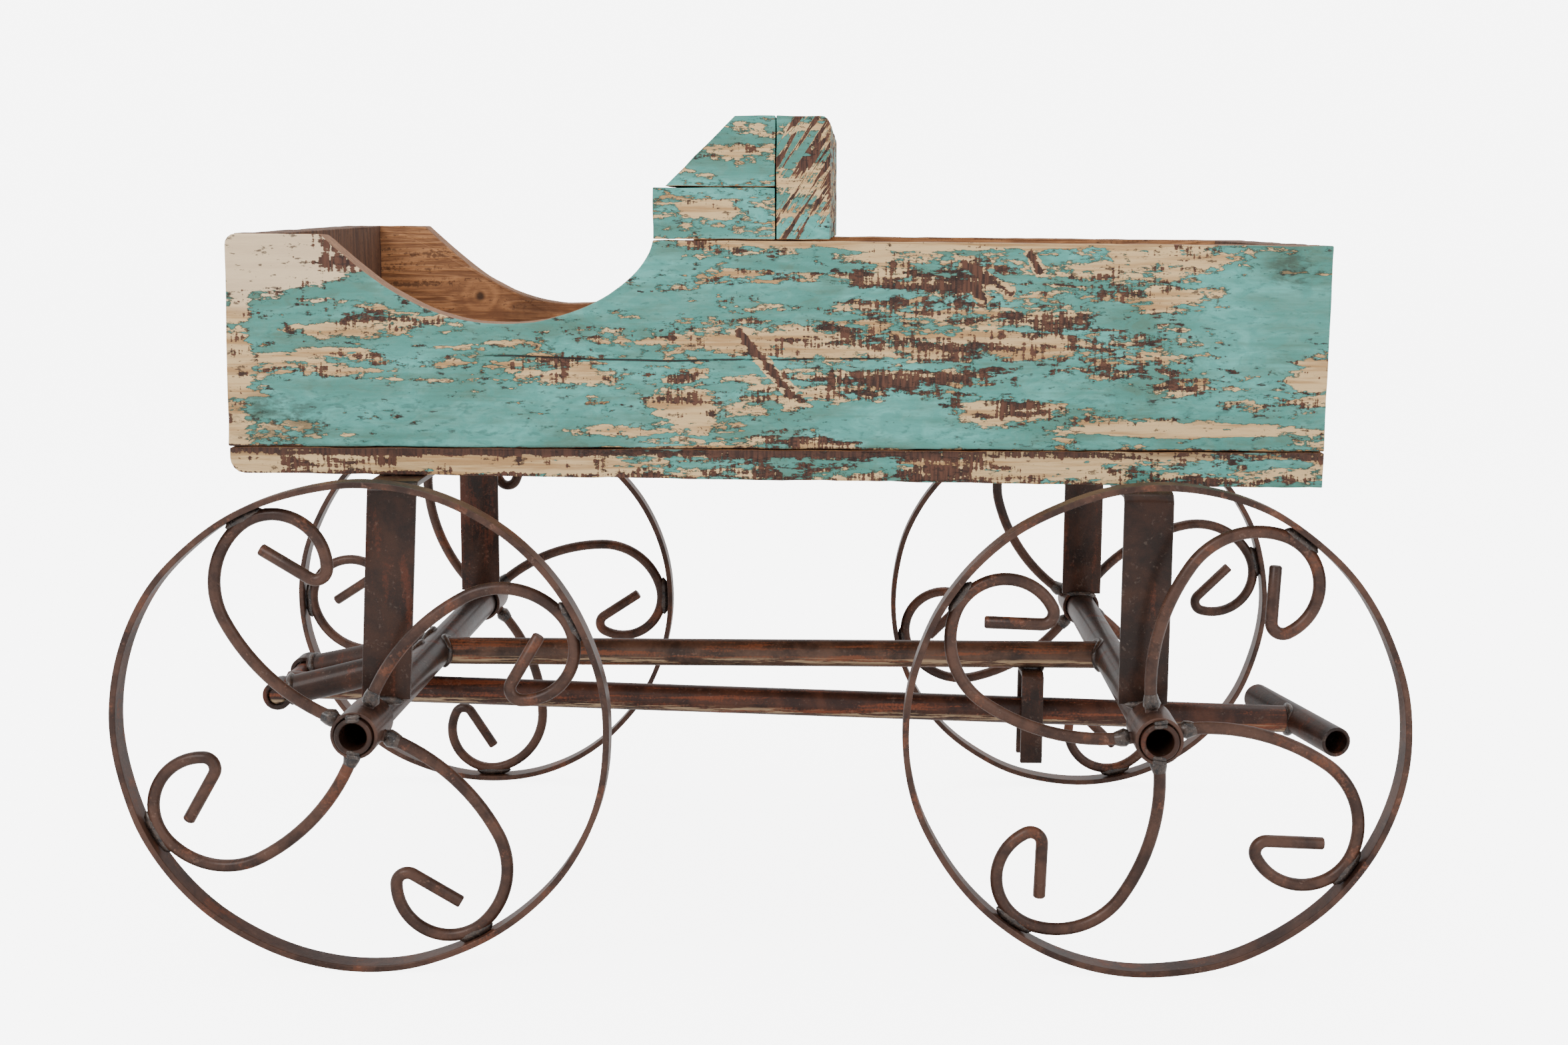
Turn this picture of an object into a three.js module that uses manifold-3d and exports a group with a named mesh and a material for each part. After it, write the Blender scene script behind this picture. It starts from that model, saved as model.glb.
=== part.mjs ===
// A hand-made ore cart planter: an open wooden box on a welded steel chassis,
// with four scroll-spoked wheels that turn on tube axles and a T-handled pull
// bar that is stowed under the chassis and swings round the front to pull.
//
// Millimetres, +Z up. X runs from the front (-X) to the rear (+X), Y from the
// near side (-Y) to the far side (+Y). The origin is on the ground, midway
// between the axles and midway between the wheels.

import * as THREE from 'three';
import { mergeVertices } from 'three/addons/utils/BufferGeometryUtils.js';
import Module from 'manifold-3d';

const wasm = await Module();
wasm.setup();

// ---------------------------------------------------------------------------
// Driving dimensions
// ---------------------------------------------------------------------------

const gap = 0.3; // left between pieces that touch or are welded

const wheelDiameter = 254; // over the rim strip
const wheelbase = 400; // axle to axle
const wheelTrack = 356; // over the outside edges of the rims
const axleSkew = -1.4; // degrees off square to the spine: near ends lead, far ends trail
const rimWidth = 12.7;
const rimThickness = 3.2;

const rodDiameter = 6.35; // scroll spokes
const spokesPerWheel = 4;
const scrollLead = 5; // straight start at the hub
const scrollLeadTurn = -6; // degrees off the radius
const scrollBends = [ // radius in mm of a full-size scroll, turn in degrees, steps
  [106, 39, 3],
  [39.6, 74.4, 5],
  [26.5, 134.2, 9],
  [5.9, 119.4, 7],
];
const scrollTail = 28.3; // straight end inside the curl
const scrollRimGap = 0.6; // between the curl and the rim strip
// How each wheel stands: its first scroll's start in degrees above +X, seen from the near side.
const phases = { front_near: -17, front_far: -43.5, rear_near: 10.5, rear_far: -31 };

const axleDiameter = 19;
const axleBore = 14;
const axleEnd = 2.5; // axle standing out past the hub
const hubDiameter = 24;
const hubRunningGap = 0.5; // radial, hub on axle
const hubInside = 12.8; // hub past the rim's inside edge
const hubOutside = 9.5; // hub past the rim's outside edge
const tabWidth = 7; // weld tabs that keep the hub on
const tabReach = 2; // how far a tab stands over the axle tube

const spineDiameter = 16;
const spineBore = 12.6;
const drawLineY = 8; // spine, stirrup and pull bar lie in this plane

const boxLength = 565;
const boxWidth = 256;
const boxOffset = 3.5; // box centre behind the middle of the wheelbase
const boardThickness = 19.5;
const undersideFront = 250.8; // the floor board tapers, thin end forward
const undersideRear = 245.8;
const floorTop = 265.4; // inside, between the walls
const floorRebate = 1; // the walls stand this much lower
const sideHeight = 106.4; // side board at the block
const sideFall = 1.4; // from the block back to the rear
const hornRise = { near: 2.4, far: 5.4 }; // side board's front end above its height at the block
const cornerRadius = 5.8; // worn front top corner of each side board
const hornSetback = 1.8; // the side boards' front ends lean back this much at the top
const boxSkew = 8; // far side board set this much further back than the near one
const frontEndSkew = 13; // far end of the front end board behind its near end
const blockSkew = 7.5; // far end of the block behind its near end

const scoopDepth = 42.6;
const scoopFront = 92; // from the lowest point forward to the board's top edge
const scoopRear = 77; // from the lowest point back to the block's face

const blockFront = -59;
const blockSplit = 3.2; // face between the stacked boards and the upright board
const blockRear = 31;
const blockLowerHeight = 26.2;
const blockHeight = 62;
const blockStep = 6; // ledge in front of the sloping face
const blockSlope = 35.5; // run of the sloping face
const blockCorner = 5; // rounded top edge at the back

const postWidth = 25;
const postThickness = 3.2;
const postBend = 6; // outside radius of the bent top
const postHubGap = 1.5;
const postFeet = { front_near: -196, front_far: -196, rear_near: 193, rear_far: 203 };
const postLean = { front_near: 3, front_far: 0, rear_near: 0, rear_far: 0 }; // degrees, head rearward
const flangeReach = 52; // from the post's outside face, under the box
const screwInsets = [12, 24]; // screw centres in from the box's side face
const screwRadius = 2;
const screwHeadRadius = 4;
const screwHeadHeight = 2.4;
const screwBite = 10; // into the floor board
const screwPoint = 3;

const hingeX = -288;
const hingeZ = 105.7;
const armTube = 17.1;
const armBore = 13.1;
const armRootY = { near: -10.5, far: 27 };
const armTipY = { near: -13.5, far: 44 };
const knuckleDiameter = 17.1;
const knuckleBore = 11.5;
const knuckleWidth = 16;
const knuckleY = { near: -13, far: 50 };

const pinDiameter = 10.5;
const pinRecess = 1; // pin end inside the knuckle's outer mouth
const barDiameter = 16;
const barBore = 12.6;
const barDroop = 1.648; // degrees below level, stowed
const gripX = 312.4;
const gripDiameter = 17.1;
const gripBore = 13.1;
const gripLength = 108;
const gripNearShare = 0.49; // share of the grip on the near side of the bar
const gripSkew = 11.5; // degrees off square

const stirrupX = 154;
const stirrupWidth = 12.7;
const stirrupThickness = 3.2;
const stirrupBend = 5;
const stirrupGap = 19.8; // inside, between the legs
const stirrupDrop = 54.8; // crown to leg ends

// ---------------------------------------------------------------------------
// Sizes that follow from them
// ---------------------------------------------------------------------------

const wheelRadius = wheelDiameter / 2;
const axleZ = wheelRadius;
const rimCentreY = wheelTrack / 2 - rimWidth / 2;
const hubInnerY = wheelTrack / 2 - rimWidth - hubInside;
const hubOuterY = wheelTrack / 2 + hubOutside;
const axleHalf = hubOuterY + axleEnd;
const postFaceY = hubInnerY - postHubGap;
const rebateTop = floorTop - floorRebate;
const sideFoot = rebateTop + gap;
const blockSeat = sideFoot + sideHeight;
const boxFront = boxOffset - boxLength / 2;
const boxRear = boxOffset + boxLength / 2;
const undersideAt = (x) => undersideFront + (undersideRear - undersideFront) * (x - boxFront) / boxLength;
const ends = [[-1, 'front'], [1, 'rear']];
const sides = [[-1, 'near'], [1, 'far']];

// ---------------------------------------------------------------------------
// Shape helpers
// ---------------------------------------------------------------------------

// A geometry with one vertex for each corner, so that it is a closed mesh.
function welded(geometry) {
  const plain = new THREE.BufferGeometry();
  plain.setAttribute('position', geometry.getAttribute('position').clone());
  if (geometry.index) {
    plain.setIndex(geometry.index.clone());
  }
  return mergeVertices(plain, 1e-4);
}

function solidOf(geometry) {
  const closed = welded(geometry);
  return new wasm.Manifold(new wasm.Mesh({
    numProp: 3,
    vertProperties: new Float32Array(closed.getAttribute('position').array),
    triVerts: new Uint32Array(closed.index.array),
  }));
}

function geometryOf(solid) {
  const { vertProperties, triVerts } = solid.getMesh();
  const geometry = new THREE.BufferGeometry();
  geometry.setAttribute('position', new THREE.BufferAttribute(vertProperties, 3));
  geometry.setIndex(new THREE.BufferAttribute(triVerts, 1));
  return geometry;
}

// base with every tool cut out of it, or every piece joined on.
function cut(base, ...tools) {
  return geometryOf(tools.reduce((solid, tool) => solid.subtract(solidOf(tool)), solidOf(base)));
}

function joined(base, ...pieces) {
  return geometryOf(pieces.reduce((solid, piece) => solid.add(solidOf(piece)), solidOf(base)));
}

// An outline in the XZ plane, extruded towards -Y from y = 0.
function extrudeAlongY(shape, depth) {
  const geometry = new THREE.ExtrudeGeometry(shape, { depth, bevelEnabled: false, curveSegments: 10 });
  const basis = new THREE.Matrix4().makeBasis(
    new THREE.Vector3(1, 0, 0), new THREE.Vector3(0, 0, 1), new THREE.Vector3(0, -1, 0));
  return geometry.applyMatrix4(basis);
}

// An outline in the YZ plane, extruded along X and centred on x = 0.
function extrudeAlongX(shape, depth) {
  const geometry = new THREE.ExtrudeGeometry(shape, { depth, bevelEnabled: false, curveSegments: 5 });
  const basis = new THREE.Matrix4().makeBasis(
    new THREE.Vector3(0, 1, 0), new THREE.Vector3(0, 0, 1), new THREE.Vector3(1, 0, 0));
  return geometry.applyMatrix4(basis).translate(-depth / 2, 0, 0);
}

function board(x0, x1, y0, y1, z0, z1) {
  return new THREE.BoxGeometry(x1 - x0, y1 - y0, z1 - z0)
    .translate((x0 + x1) / 2, (y0 + y1) / 2, (z0 + z1) / 2);
}

// A solid leaned so that its far end lies further back, by run over the box's width.
function skewed(geometry, run) {
  const slope = run / boxWidth;
  const lean = new THREE.Matrix4().set(
    1, slope, 0, run / 2,
    0, 1, 0, 0,
    0, 0, 1, 0,
    0, 0, 0, 1);
  return geometry.applyMatrix4(lean);
}

// A tube open at both ends, along Y and centred on the origin.
function tube(outside, bore, length, segments = 24) {
  const half = length / 2;
  const profile = [
    [bore / 2, -half], [outside / 2, -half], [outside / 2, half], [bore / 2, half], [bore / 2, -half],
  ];
  return new THREE.LatheGeometry(profile.map(([r, y]) => new THREE.Vector2(r, y)), segments);
}

function rod(diameter, length, segments = 24) {
  return new THREE.CylinderGeometry(diameter / 2, diameter / 2, length, segments);
}

// Lays a piece made along Y between two points.
function between(geometry, from, to) {
  const turn = new THREE.Quaternion().setFromUnitVectors(
    new THREE.Vector3(0, 1, 0), to.clone().sub(from).normalize());
  const middle = from.clone().add(to).multiplyScalar(0.5);
  return geometry.applyQuaternion(turn).translate(middle.x, middle.y, middle.z);
}

// ---------------------------------------------------------------------------
// Finishes
// ---------------------------------------------------------------------------

const finish = (color, roughness, metalness) => () => (
  new THREE.MeshStandardMaterial({ color, roughness, metalness }));
const frameSteel = finish(0x4b3831, 0.45, 0.8);
const wheelSteel = finish(0x5a3f34, 0.4, 0.8);
const barSteel = finish(0x6b4632, 0.45, 0.8);
const screwSteel = finish(0x8c8c88, 0.4, 0.9);
const paintedWood = finish(0x6fa8a0, 0.8, 0);
const bareWood = finish(0xa98a62, 0.85, 0);
const blockWood = finish(0x7d7f6c, 0.85, 0);

const cart = new THREE.Group();

function add(parent, name, geometry, material, x = 0, y = 0, z = 0) {
  const closed = welded(geometry);
  closed.computeVertexNormals();
  const mesh = new THREE.Mesh(closed, material());
  mesh.name = name;
  mesh.position.set(x, y, z);
  parent.add(mesh);
}

// ---------------------------------------------------------------------------
// Wheels: a flat-strip rim, a tube hub and four rod scrolls welded between them
// ---------------------------------------------------------------------------

// The middle line of one scroll in the wheel's plane. It leaves the hub along
// +X, bends towards -Z in arcs that tighten, and ends in a straight tail. A
// scale of 1 is a full-size scroll.
class Scroll extends THREE.Curve {
  constructor(scale) {
    super();
    this.stations = [];
    let heading = THREE.MathUtils.degToRad(scrollLeadTurn);
    const at = new THREE.Vector3(hubDiameter / 2 + 2 * gap, 0, 0);
    const mark = () => this.stations.push({
      point: at.clone(), tangent: new THREE.Vector3(Math.cos(heading), 0, Math.sin(heading)),
    });
    const advance = (length) => at.add(
      new THREE.Vector3(Math.cos(heading) * length, 0, Math.sin(heading) * length));
    mark();
    advance(scrollLead);
    mark();
    for (const [radius, turn, steps] of scrollBends) {
      const step = THREE.MathUtils.degToRad(turn) / steps;
      for (let i = 0; i < steps; i += 1) {
        heading -= step / 2;
        advance(2 * radius * scale * Math.sin(step / 2));
        heading -= step / 2;
        mark();
      }
    }
    advance(scrollTail * scale);
    mark();
  }

  get reach() {
    return Math.max(...this.stations.map(({ point }) => point.length()));
  }

  station(u) {
    return this.stations[Math.round(u * (this.stations.length - 1))];
  }

  getPointAt(u) {
    return this.station(u).point.clone();
  }

  getTangentAt(u) {
    return this.station(u).tangent.clone();
  }
}

// The scroll whose curl just clears the inside of the rim.
function fittedScroll() {
  const reach = wheelRadius - rimThickness - scrollRimGap - rodDiameter / 2;
  let low = 0.2;
  let high = 3;
  for (let i = 0; i < 40; i += 1) {
    const scale = (low + high) / 2;
    if (new Scroll(scale).reach > reach) {
      high = scale;
    } else {
      low = scale;
    }
  }
  return new Scroll(low);
}

function scrollSpoke() {
  const path = fittedScroll();
  const section = new THREE.Shape();
  section.absarc(0, 0, rodDiameter / 2, 0, Math.PI * 2);
  return new THREE.ExtrudeGeometry(section, {
    steps: path.stations.length - 1, extrudePath: path, curveSegments: 4,
  });
}

// A tube with two weld tabs at each end, over the hub's mouth.
function axle() {
  const tabs = [];
  const inside = (axleBore + axleDiameter) / 4;
  const outside = axleDiameter / 2 + tabReach;
  for (const side of [-1, 1]) {
    for (const up of [-1, 1]) {
      tabs.push(new THREE.BoxGeometry(tabWidth, axleEnd - gap, outside - inside)
        .translate(0, side * (hubOuterY + gap + (axleEnd - gap) / 2), up * (inside + outside) / 2));
    }
  }
  return joined(tube(axleDiameter, axleBore, 2 * axleHalf), ...tabs);
}

function buildWheel(parent, name, side, phase) {
  const wheel = new THREE.Group();
  wheel.position.y = side * rimCentreY;
  parent.add(wheel);
  add(wheel, `${name}_rim`, tube(wheelDiameter, wheelDiameter - 2 * rimThickness, rimWidth, 56), wheelSteel);
  add(wheel, `${name}_hub`, tube(hubDiameter, axleDiameter + 2 * hubRunningGap, hubOuterY - hubInnerY),
    wheelSteel, 0, side * ((hubInnerY + hubOuterY) / 2 - rimCentreY), 0);
  for (let i = 0; i < spokesPerWheel; i += 1) {
    const angle = THREE.MathUtils.degToRad(phase + i * 360 / spokesPerWheel);
    add(wheel, `${name}_scroll_${i + 1}`, scrollSpoke().rotateY(-angle), wheelSteel);
  }
}

for (const [end, endName] of ends) {
  const axleSet = new THREE.Group();
  axleSet.position.set(end * wheelbase / 2, 0, axleZ);
  axleSet.rotation.z = THREE.MathUtils.degToRad(axleSkew);
  cart.add(axleSet);
  add(axleSet, `axle_${endName}`, axle(), frameSteel);
  for (const [side, sideName] of sides) {
    buildWheel(axleSet, `wheel_${endName}_${sideName}`, side, phases[`${endName}_${sideName}`]);
  }
}

// ---------------------------------------------------------------------------
// Spine, stirrup and hitch arms
// ---------------------------------------------------------------------------

// The space that an axle takes, for fish-mouthing what is welded to it.
function axleSpace(end) {
  return rod(axleDiameter + 2 * gap, 2 * axleHalf)
    .rotateZ(THREE.MathUtils.degToRad(axleSkew)).translate(end * wheelbase / 2, 0, axleZ);
}

function spine() {
  const half = wheelbase / 2;
  const blank = between(tube(spineDiameter, spineBore, wheelbase),
    new THREE.Vector3(-half, drawLineY, axleZ), new THREE.Vector3(half, drawLineY, axleZ));
  return cut(blank, axleSpace(-1), axleSpace(1));
}

add(cart, 'spine_tube', spine(), frameSteel);

// An inverted U of flat bar under the spine; the pull bar snaps up between its legs.
function stirrup() {
  const inner = stirrupGap / 2;
  const outer = inner + stirrupThickness;
  const bend = stirrupBend - stirrupThickness;
  const shape = new THREE.Shape();
  shape.moveTo(-outer, -stirrupDrop);
  shape.lineTo(-inner, -stirrupDrop);
  shape.lineTo(-inner, -stirrupBend);
  shape.absarc(-inner + bend, -stirrupBend, bend, Math.PI, Math.PI / 2, true);
  shape.lineTo(inner - bend, -stirrupThickness);
  shape.absarc(inner - bend, -stirrupBend, bend, Math.PI / 2, 0, true);
  shape.lineTo(inner, -stirrupDrop);
  shape.lineTo(outer, -stirrupDrop);
  shape.lineTo(outer, -stirrupBend);
  shape.absarc(outer - stirrupBend, -stirrupBend, stirrupBend, 0, Math.PI / 2, false);
  shape.lineTo(stirrupBend - outer, 0);
  shape.absarc(stirrupBend - outer, -stirrupBend, stirrupBend, Math.PI / 2, Math.PI, false);
  return extrudeAlongX(shape, stirrupWidth);
}

add(cart, 'stirrup', stirrup(), frameSteel, stirrupX, drawLineY, axleZ - spineDiameter / 2 - gap);

// An arm runs from the front axle down to its knuckle; both ends are fish-mouthed.
function hitchArm(sideName) {
  const root = new THREE.Vector3(-wheelbase / 2, armRootY[sideName], axleZ);
  const tip = new THREE.Vector3(hingeX, armTipY[sideName], hingeZ);
  const blank = between(tube(armTube, armBore, root.distanceTo(tip)), root, tip);
  const seat = rod(knuckleDiameter + 2 * gap, 4 * armTube).translate(hingeX, armTipY[sideName], hingeZ);
  return cut(blank, axleSpace(-1), seat);
}

for (const [, sideName] of sides) {
  add(cart, `hitch_arm_${sideName}`, hitchArm(sideName), frameSteel);
  add(cart, `knuckle_${sideName}`, tube(knuckleDiameter, knuckleBore, knuckleWidth), frameSteel,
    hingeX, knuckleY[sideName], hingeZ);
}

// ---------------------------------------------------------------------------
// Pull bar: a pin through both knuckles, the bar and its T-grip
// ---------------------------------------------------------------------------

const pinNear = knuckleY.near - knuckleWidth / 2 + pinRecess;
const pinFar = knuckleY.far + knuckleWidth / 2 - pinRecess;
add(cart, 'pull_bar_pin', rod(pinDiameter, pinFar - pinNear), barSteel,
  hingeX, (pinNear + pinFar) / 2, hingeZ);

const gripZ = hingeZ - (gripX - hingeX) * Math.tan(THREE.MathUtils.degToRad(barDroop));

// Puts a piece made along Y where the grip is welded on.
function atGrip(geometry) {
  return geometry.translate(0, gripLength * (0.5 - gripNearShare), 0)
    .rotateZ(THREE.MathUtils.degToRad(gripSkew)).translate(gripX, drawLineY, gripZ);
}

function pullBar() {
  const root = new THREE.Vector3(hingeX, drawLineY, hingeZ);
  const tip = new THREE.Vector3(gripX, drawLineY, gripZ);
  const blank = between(tube(barDiameter, barBore, root.distanceTo(tip)), root, tip);
  const pinSeat = rod(pinDiameter + 2 * gap, 4 * barDiameter).translate(hingeX, drawLineY, hingeZ);
  return cut(blank, pinSeat, atGrip(rod(gripDiameter + 2 * gap, 2 * gripLength)));
}

add(cart, 'pull_bar', pullBar(), barSteel);
add(cart, 'pull_bar_grip', atGrip(tube(gripDiameter, gripBore, gripLength)), barSteel);

// ---------------------------------------------------------------------------
// Posts: flat bar from the axle up to a bent flange screwed under the box
// ---------------------------------------------------------------------------

const screwYs = screwInsets.map((inset) => boxWidth / 2 - inset);

const postFootZ = axleZ + axleDiameter / 2 + gap;

// The top of a post's flange, under the lowest part of the floor that it meets.
const flangeTopAt = (x) => undersideAt(x + postWidth / 2) - gap;

// Where the middle of a post's head comes, once it has leant.
function headXOf(place) {
  const rise = undersideAt(postFeet[place]) - postFootZ;
  return postFeet[place] + Math.tan(THREE.MathUtils.degToRad(postLean[place])) * rise;
}

function post(place, side) {
  const headX = headXOf(place);
  const top = flangeTopAt(headX);
  const inner = postFaceY - postThickness;
  const bend = postBend - postThickness;
  const under = top - postThickness;
  const shape = new THREE.Shape();
  shape.moveTo(inner, postFootZ);
  shape.lineTo(postFaceY, postFootZ);
  shape.lineTo(postFaceY, top - postBend);
  shape.absarc(postFaceY - postBend, top - postBend, postBend, 0, Math.PI / 2, false);
  shape.lineTo(postFaceY - flangeReach, top);
  shape.lineTo(postFaceY - flangeReach, under);
  shape.lineTo(inner - bend, under);
  shape.absarc(inner - bend, under - bend, bend, Math.PI / 2, 0, true);
  const lean = Math.tan(THREE.MathUtils.degToRad(postLean[place]));
  const flat = extrudeAlongX(shape, postWidth)
    .rotateZ(side > 0 ? 0 : Math.PI)
    .applyMatrix4(new THREE.Matrix4().makeShear(0, 0, 0, 0, lean, 0))
    .translate(headX - lean * top, 0, 0);
  return cut(flat, ...screwYs.map((y) => screwHole(headX, side * y, top)));
}

function screwHole(x, y, z) {
  return rod(2 * (screwRadius + gap), 2 * screwBite + 4 * gap, 12).rotateX(Math.PI / 2).translate(x, y, z);
}

// A pan-head screw, head down, its seat at z = 0.
function screw() {
  const tip = postThickness + gap + screwBite;
  const profile = [
    [0, -screwHeadHeight], [screwHeadRadius * 0.7, -screwHeadHeight],
    [screwHeadRadius, -screwHeadHeight * 0.4], [screwHeadRadius, 0],
    [screwRadius, 0], [screwRadius, tip - screwPoint], [0, tip],
  ];
  return new THREE.LatheGeometry(profile.map(([r, y]) => new THREE.Vector2(r, y)), 12).rotateX(Math.PI / 2);
}

const screwHoles = [];
for (const [, endName] of ends) {
  for (const [side, sideName] of sides) {
    const place = `${endName}_${sideName}`;
    const headX = headXOf(place);
    const top = flangeTopAt(headX);
    add(cart, `post_${place}`, post(place, side), frameSteel);
    screwYs.forEach((y, i) => {
      add(cart, `screw_${place}_${i + 1}`, screw(), screwSteel, headX, side * y, top - postThickness - gap);
      screwHoles.push(screwHole(headX, side * y, top));
    });
  }
}

// ---------------------------------------------------------------------------
// Box: a floor, two scooped sides and two ends between them
// ---------------------------------------------------------------------------

// The floor board, rebated all round for the walls.
function floorBoard() {
  const shape = new THREE.Shape([
    new THREE.Vector2(boxFront, undersideFront), new THREE.Vector2(boxRear, undersideRear),
    new THREE.Vector2(boxRear, rebateTop), new THREE.Vector2(boxFront, rebateTop),
  ]);
  const base = skewed(extrudeAlongY(shape, boxWidth).translate(0, boxWidth / 2, 0), boxSkew);
  const inset = boardThickness + gap;
  const half = boxWidth / 2 - inset;
  const corner = (x, skew, y) => new THREE.Vector2(x + skew * (y / boxWidth + 0.5), y);
  const plan = new THREE.Shape([
    corner(boxFront + inset, frontEndSkew, -half), corner(boxRear - inset, boxSkew, -half),
    corner(boxRear - inset, boxSkew, half), corner(boxFront + inset, frontEndSkew, half),
  ]);
  const middle = (undersideFront + floorTop) / 2;
  const panel = new THREE.ExtrudeGeometry(plan, { depth: floorTop - middle, bevelEnabled: false });
  return joined(base, panel.translate(0, 0, middle));
}

// The scoop runs down from the top edge behind the front corner and up to the
// front face of the block on top.
function sideBoard(rise) {
  const lowX = blockFront - scoopRear;
  const lowZ = blockSeat - scoopDepth;
  const startX = lowX - scoopFront;
  const hornTop = blockSeat + rise;
  const shape = new THREE.Shape();
  shape.moveTo(boxFront, sideFoot);
  shape.lineTo(boxRear, sideFoot);
  shape.lineTo(boxRear, blockSeat - sideFall);
  shape.lineTo(blockRear, blockSeat);
  shape.lineTo(blockFront, blockSeat);
  shape.bezierCurveTo(blockFront - 2, blockSeat - scoopDepth * 0.38,
    lowX + scoopRear * 0.57, lowZ, lowX, lowZ);
  shape.bezierCurveTo(lowX - scoopFront * 0.42, lowZ,
    startX + scoopFront * 0.3, hornTop - scoopDepth * 0.6, startX, hornTop);
  const cornerX = boxFront + hornSetback + cornerRadius;
  shape.lineTo(cornerX, hornTop);
  shape.absarc(cornerX, hornTop - cornerRadius, cornerRadius, Math.PI / 2, Math.PI, false);
  return extrudeAlongY(shape, boardThickness);
}

// An end board stands between the side boards; its top runs from one's height to the other's.
function endBoard(x, nearTop, farTop, skew) {
  const half = boxWidth / 2 - boardThickness - gap;
  const shape = new THREE.Shape([
    new THREE.Vector2(-half, sideFoot), new THREE.Vector2(half, sideFoot),
    new THREE.Vector2(half, farTop), new THREE.Vector2(-half, nearTop),
  ]);
  return skewed(extrudeAlongX(shape, boardThickness).translate(x + boardThickness / 2, 0, 0), skew);
}

add(cart, 'box_floor', cut(floorBoard(), ...screwHoles), paintedWood);
add(cart, 'box_side_near', sideBoard(hornRise.near), paintedWood, 0, boardThickness - boxWidth / 2, 0);
add(cart, 'box_side_far', sideBoard(hornRise.far), paintedWood, boxSkew, boxWidth / 2, 0);
const rearTop = blockSeat - sideFall;
add(cart, 'box_end_front',
  endBoard(boxFront, blockSeat + hornRise.near, blockSeat + hornRise.far, frontEndSkew), bareWood);
add(cart, 'box_end_rear', endBoard(boxRear - boardThickness, rearTop, rearTop, boxSkew), bareWood);

// ---------------------------------------------------------------------------
// Block: three boards across the top, behind the scoop
// ---------------------------------------------------------------------------

const blockBottom = blockSeat + gap;
const blockTop = blockBottom + blockHeight;
const blockStepZ = blockBottom + blockLowerHeight;

function blockUpper() {
  const bottom = blockStepZ + gap;
  const shape = new THREE.Shape([
    new THREE.Vector2(blockFront + blockStep, bottom),
    new THREE.Vector2(blockSplit, bottom),
    new THREE.Vector2(blockSplit, blockTop),
    new THREE.Vector2(blockFront + blockStep + blockSlope, blockTop),
  ]);
  return skewed(extrudeAlongY(shape, boxWidth).translate(0, boxWidth / 2, 0), blockSkew);
}

function blockUpright() {
  const left = blockSplit + gap;
  const shape = new THREE.Shape();
  shape.moveTo(left, blockBottom);
  shape.lineTo(blockRear, blockBottom);
  shape.lineTo(blockRear, blockTop - blockCorner);
  shape.absarc(blockRear - blockCorner, blockTop - blockCorner, blockCorner, 0, Math.PI / 2, false);
  shape.lineTo(left, blockTop);
  return skewed(extrudeAlongY(shape, boxWidth).translate(0, boxWidth / 2, 0), blockSkew);
}

const blockHalf = boxWidth / 2;
const blockLower = board(blockFront, blockSplit, -blockHalf, blockHalf, blockBottom, blockStepZ);
add(cart, 'block_lower', skewed(blockLower, blockSkew), blockWood);
add(cart, 'block_upper', blockUpper(), blockWood);
add(cart, 'block_upright', blockUpright(), blockWood);

export default cart;
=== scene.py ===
# %% [markdown]
# # An ore cart planter
#
# The real object is a small hand-made cart: a reclaimed wooden box with thick,
# peeling paint, on a welded steel chassis with four scroll-spoked wheels. The
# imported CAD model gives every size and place. Here its plain solids are given
# round edges, welds, wear and finishes.

import math

import bmesh
import bpy
from mathutils import Matrix, Vector, noise


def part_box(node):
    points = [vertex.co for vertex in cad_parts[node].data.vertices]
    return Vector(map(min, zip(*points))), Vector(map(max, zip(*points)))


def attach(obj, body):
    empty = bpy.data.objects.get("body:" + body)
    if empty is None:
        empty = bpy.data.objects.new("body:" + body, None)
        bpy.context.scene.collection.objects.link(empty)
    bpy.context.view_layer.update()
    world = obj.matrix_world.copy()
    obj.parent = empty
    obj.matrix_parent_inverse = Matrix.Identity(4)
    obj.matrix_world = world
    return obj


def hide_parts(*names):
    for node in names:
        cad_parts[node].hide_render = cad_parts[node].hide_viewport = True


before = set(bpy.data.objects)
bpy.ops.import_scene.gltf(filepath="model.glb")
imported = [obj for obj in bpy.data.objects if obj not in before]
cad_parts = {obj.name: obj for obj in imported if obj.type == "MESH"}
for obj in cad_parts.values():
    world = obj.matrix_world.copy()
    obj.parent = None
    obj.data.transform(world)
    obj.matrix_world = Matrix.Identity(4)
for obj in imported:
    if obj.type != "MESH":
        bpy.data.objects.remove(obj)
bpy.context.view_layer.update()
MM = 0.001

# %% [markdown]
# The camera stands a little above the box and looks slightly down at the near
# side, so that a strip of the inside shows through the scoop. It is turned
# from three angles, because a lens held by hand is never quite level.

# %% Camera
CAMERA_PLACE = Vector((18.3, -1131.2, 383.1)) * MM
PITCH, YAW, ROLL = (math.radians(angle) for angle in (8.87, 0.57, -0.25))
UP = Vector((0, 0, 1))


def aimed_camera():
    """A 45 mm camera at CAMERA_PLACE, turned by PITCH, YAW and ROLL."""
    level = Vector((-math.sin(YAW), math.cos(YAW), 0))
    forward = level * math.cos(PITCH) - UP * math.sin(PITCH)
    right = forward.cross(UP).normalized()
    down = forward.cross(right)
    across = math.cos(ROLL) * right + math.sin(ROLL) * down
    up = math.sin(ROLL) * right - math.cos(ROLL) * down
    lens = bpy.data.cameras.new("camera")
    lens.lens = 45.0
    lens.sensor_width = 36.0
    lens.clip_start = 0.05
    made = bpy.data.objects.new("camera", lens)
    turn = Matrix((across, up, -forward)).transposed().to_4x4()
    made.matrix_world = Matrix.Translation(CAMERA_PLACE) @ turn
    bpy.context.scene.collection.objects.link(made)
    return made


bpy.context.scene.camera = aimed_camera()
print("camera at", tuple(CAMERA_PLACE))

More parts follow.
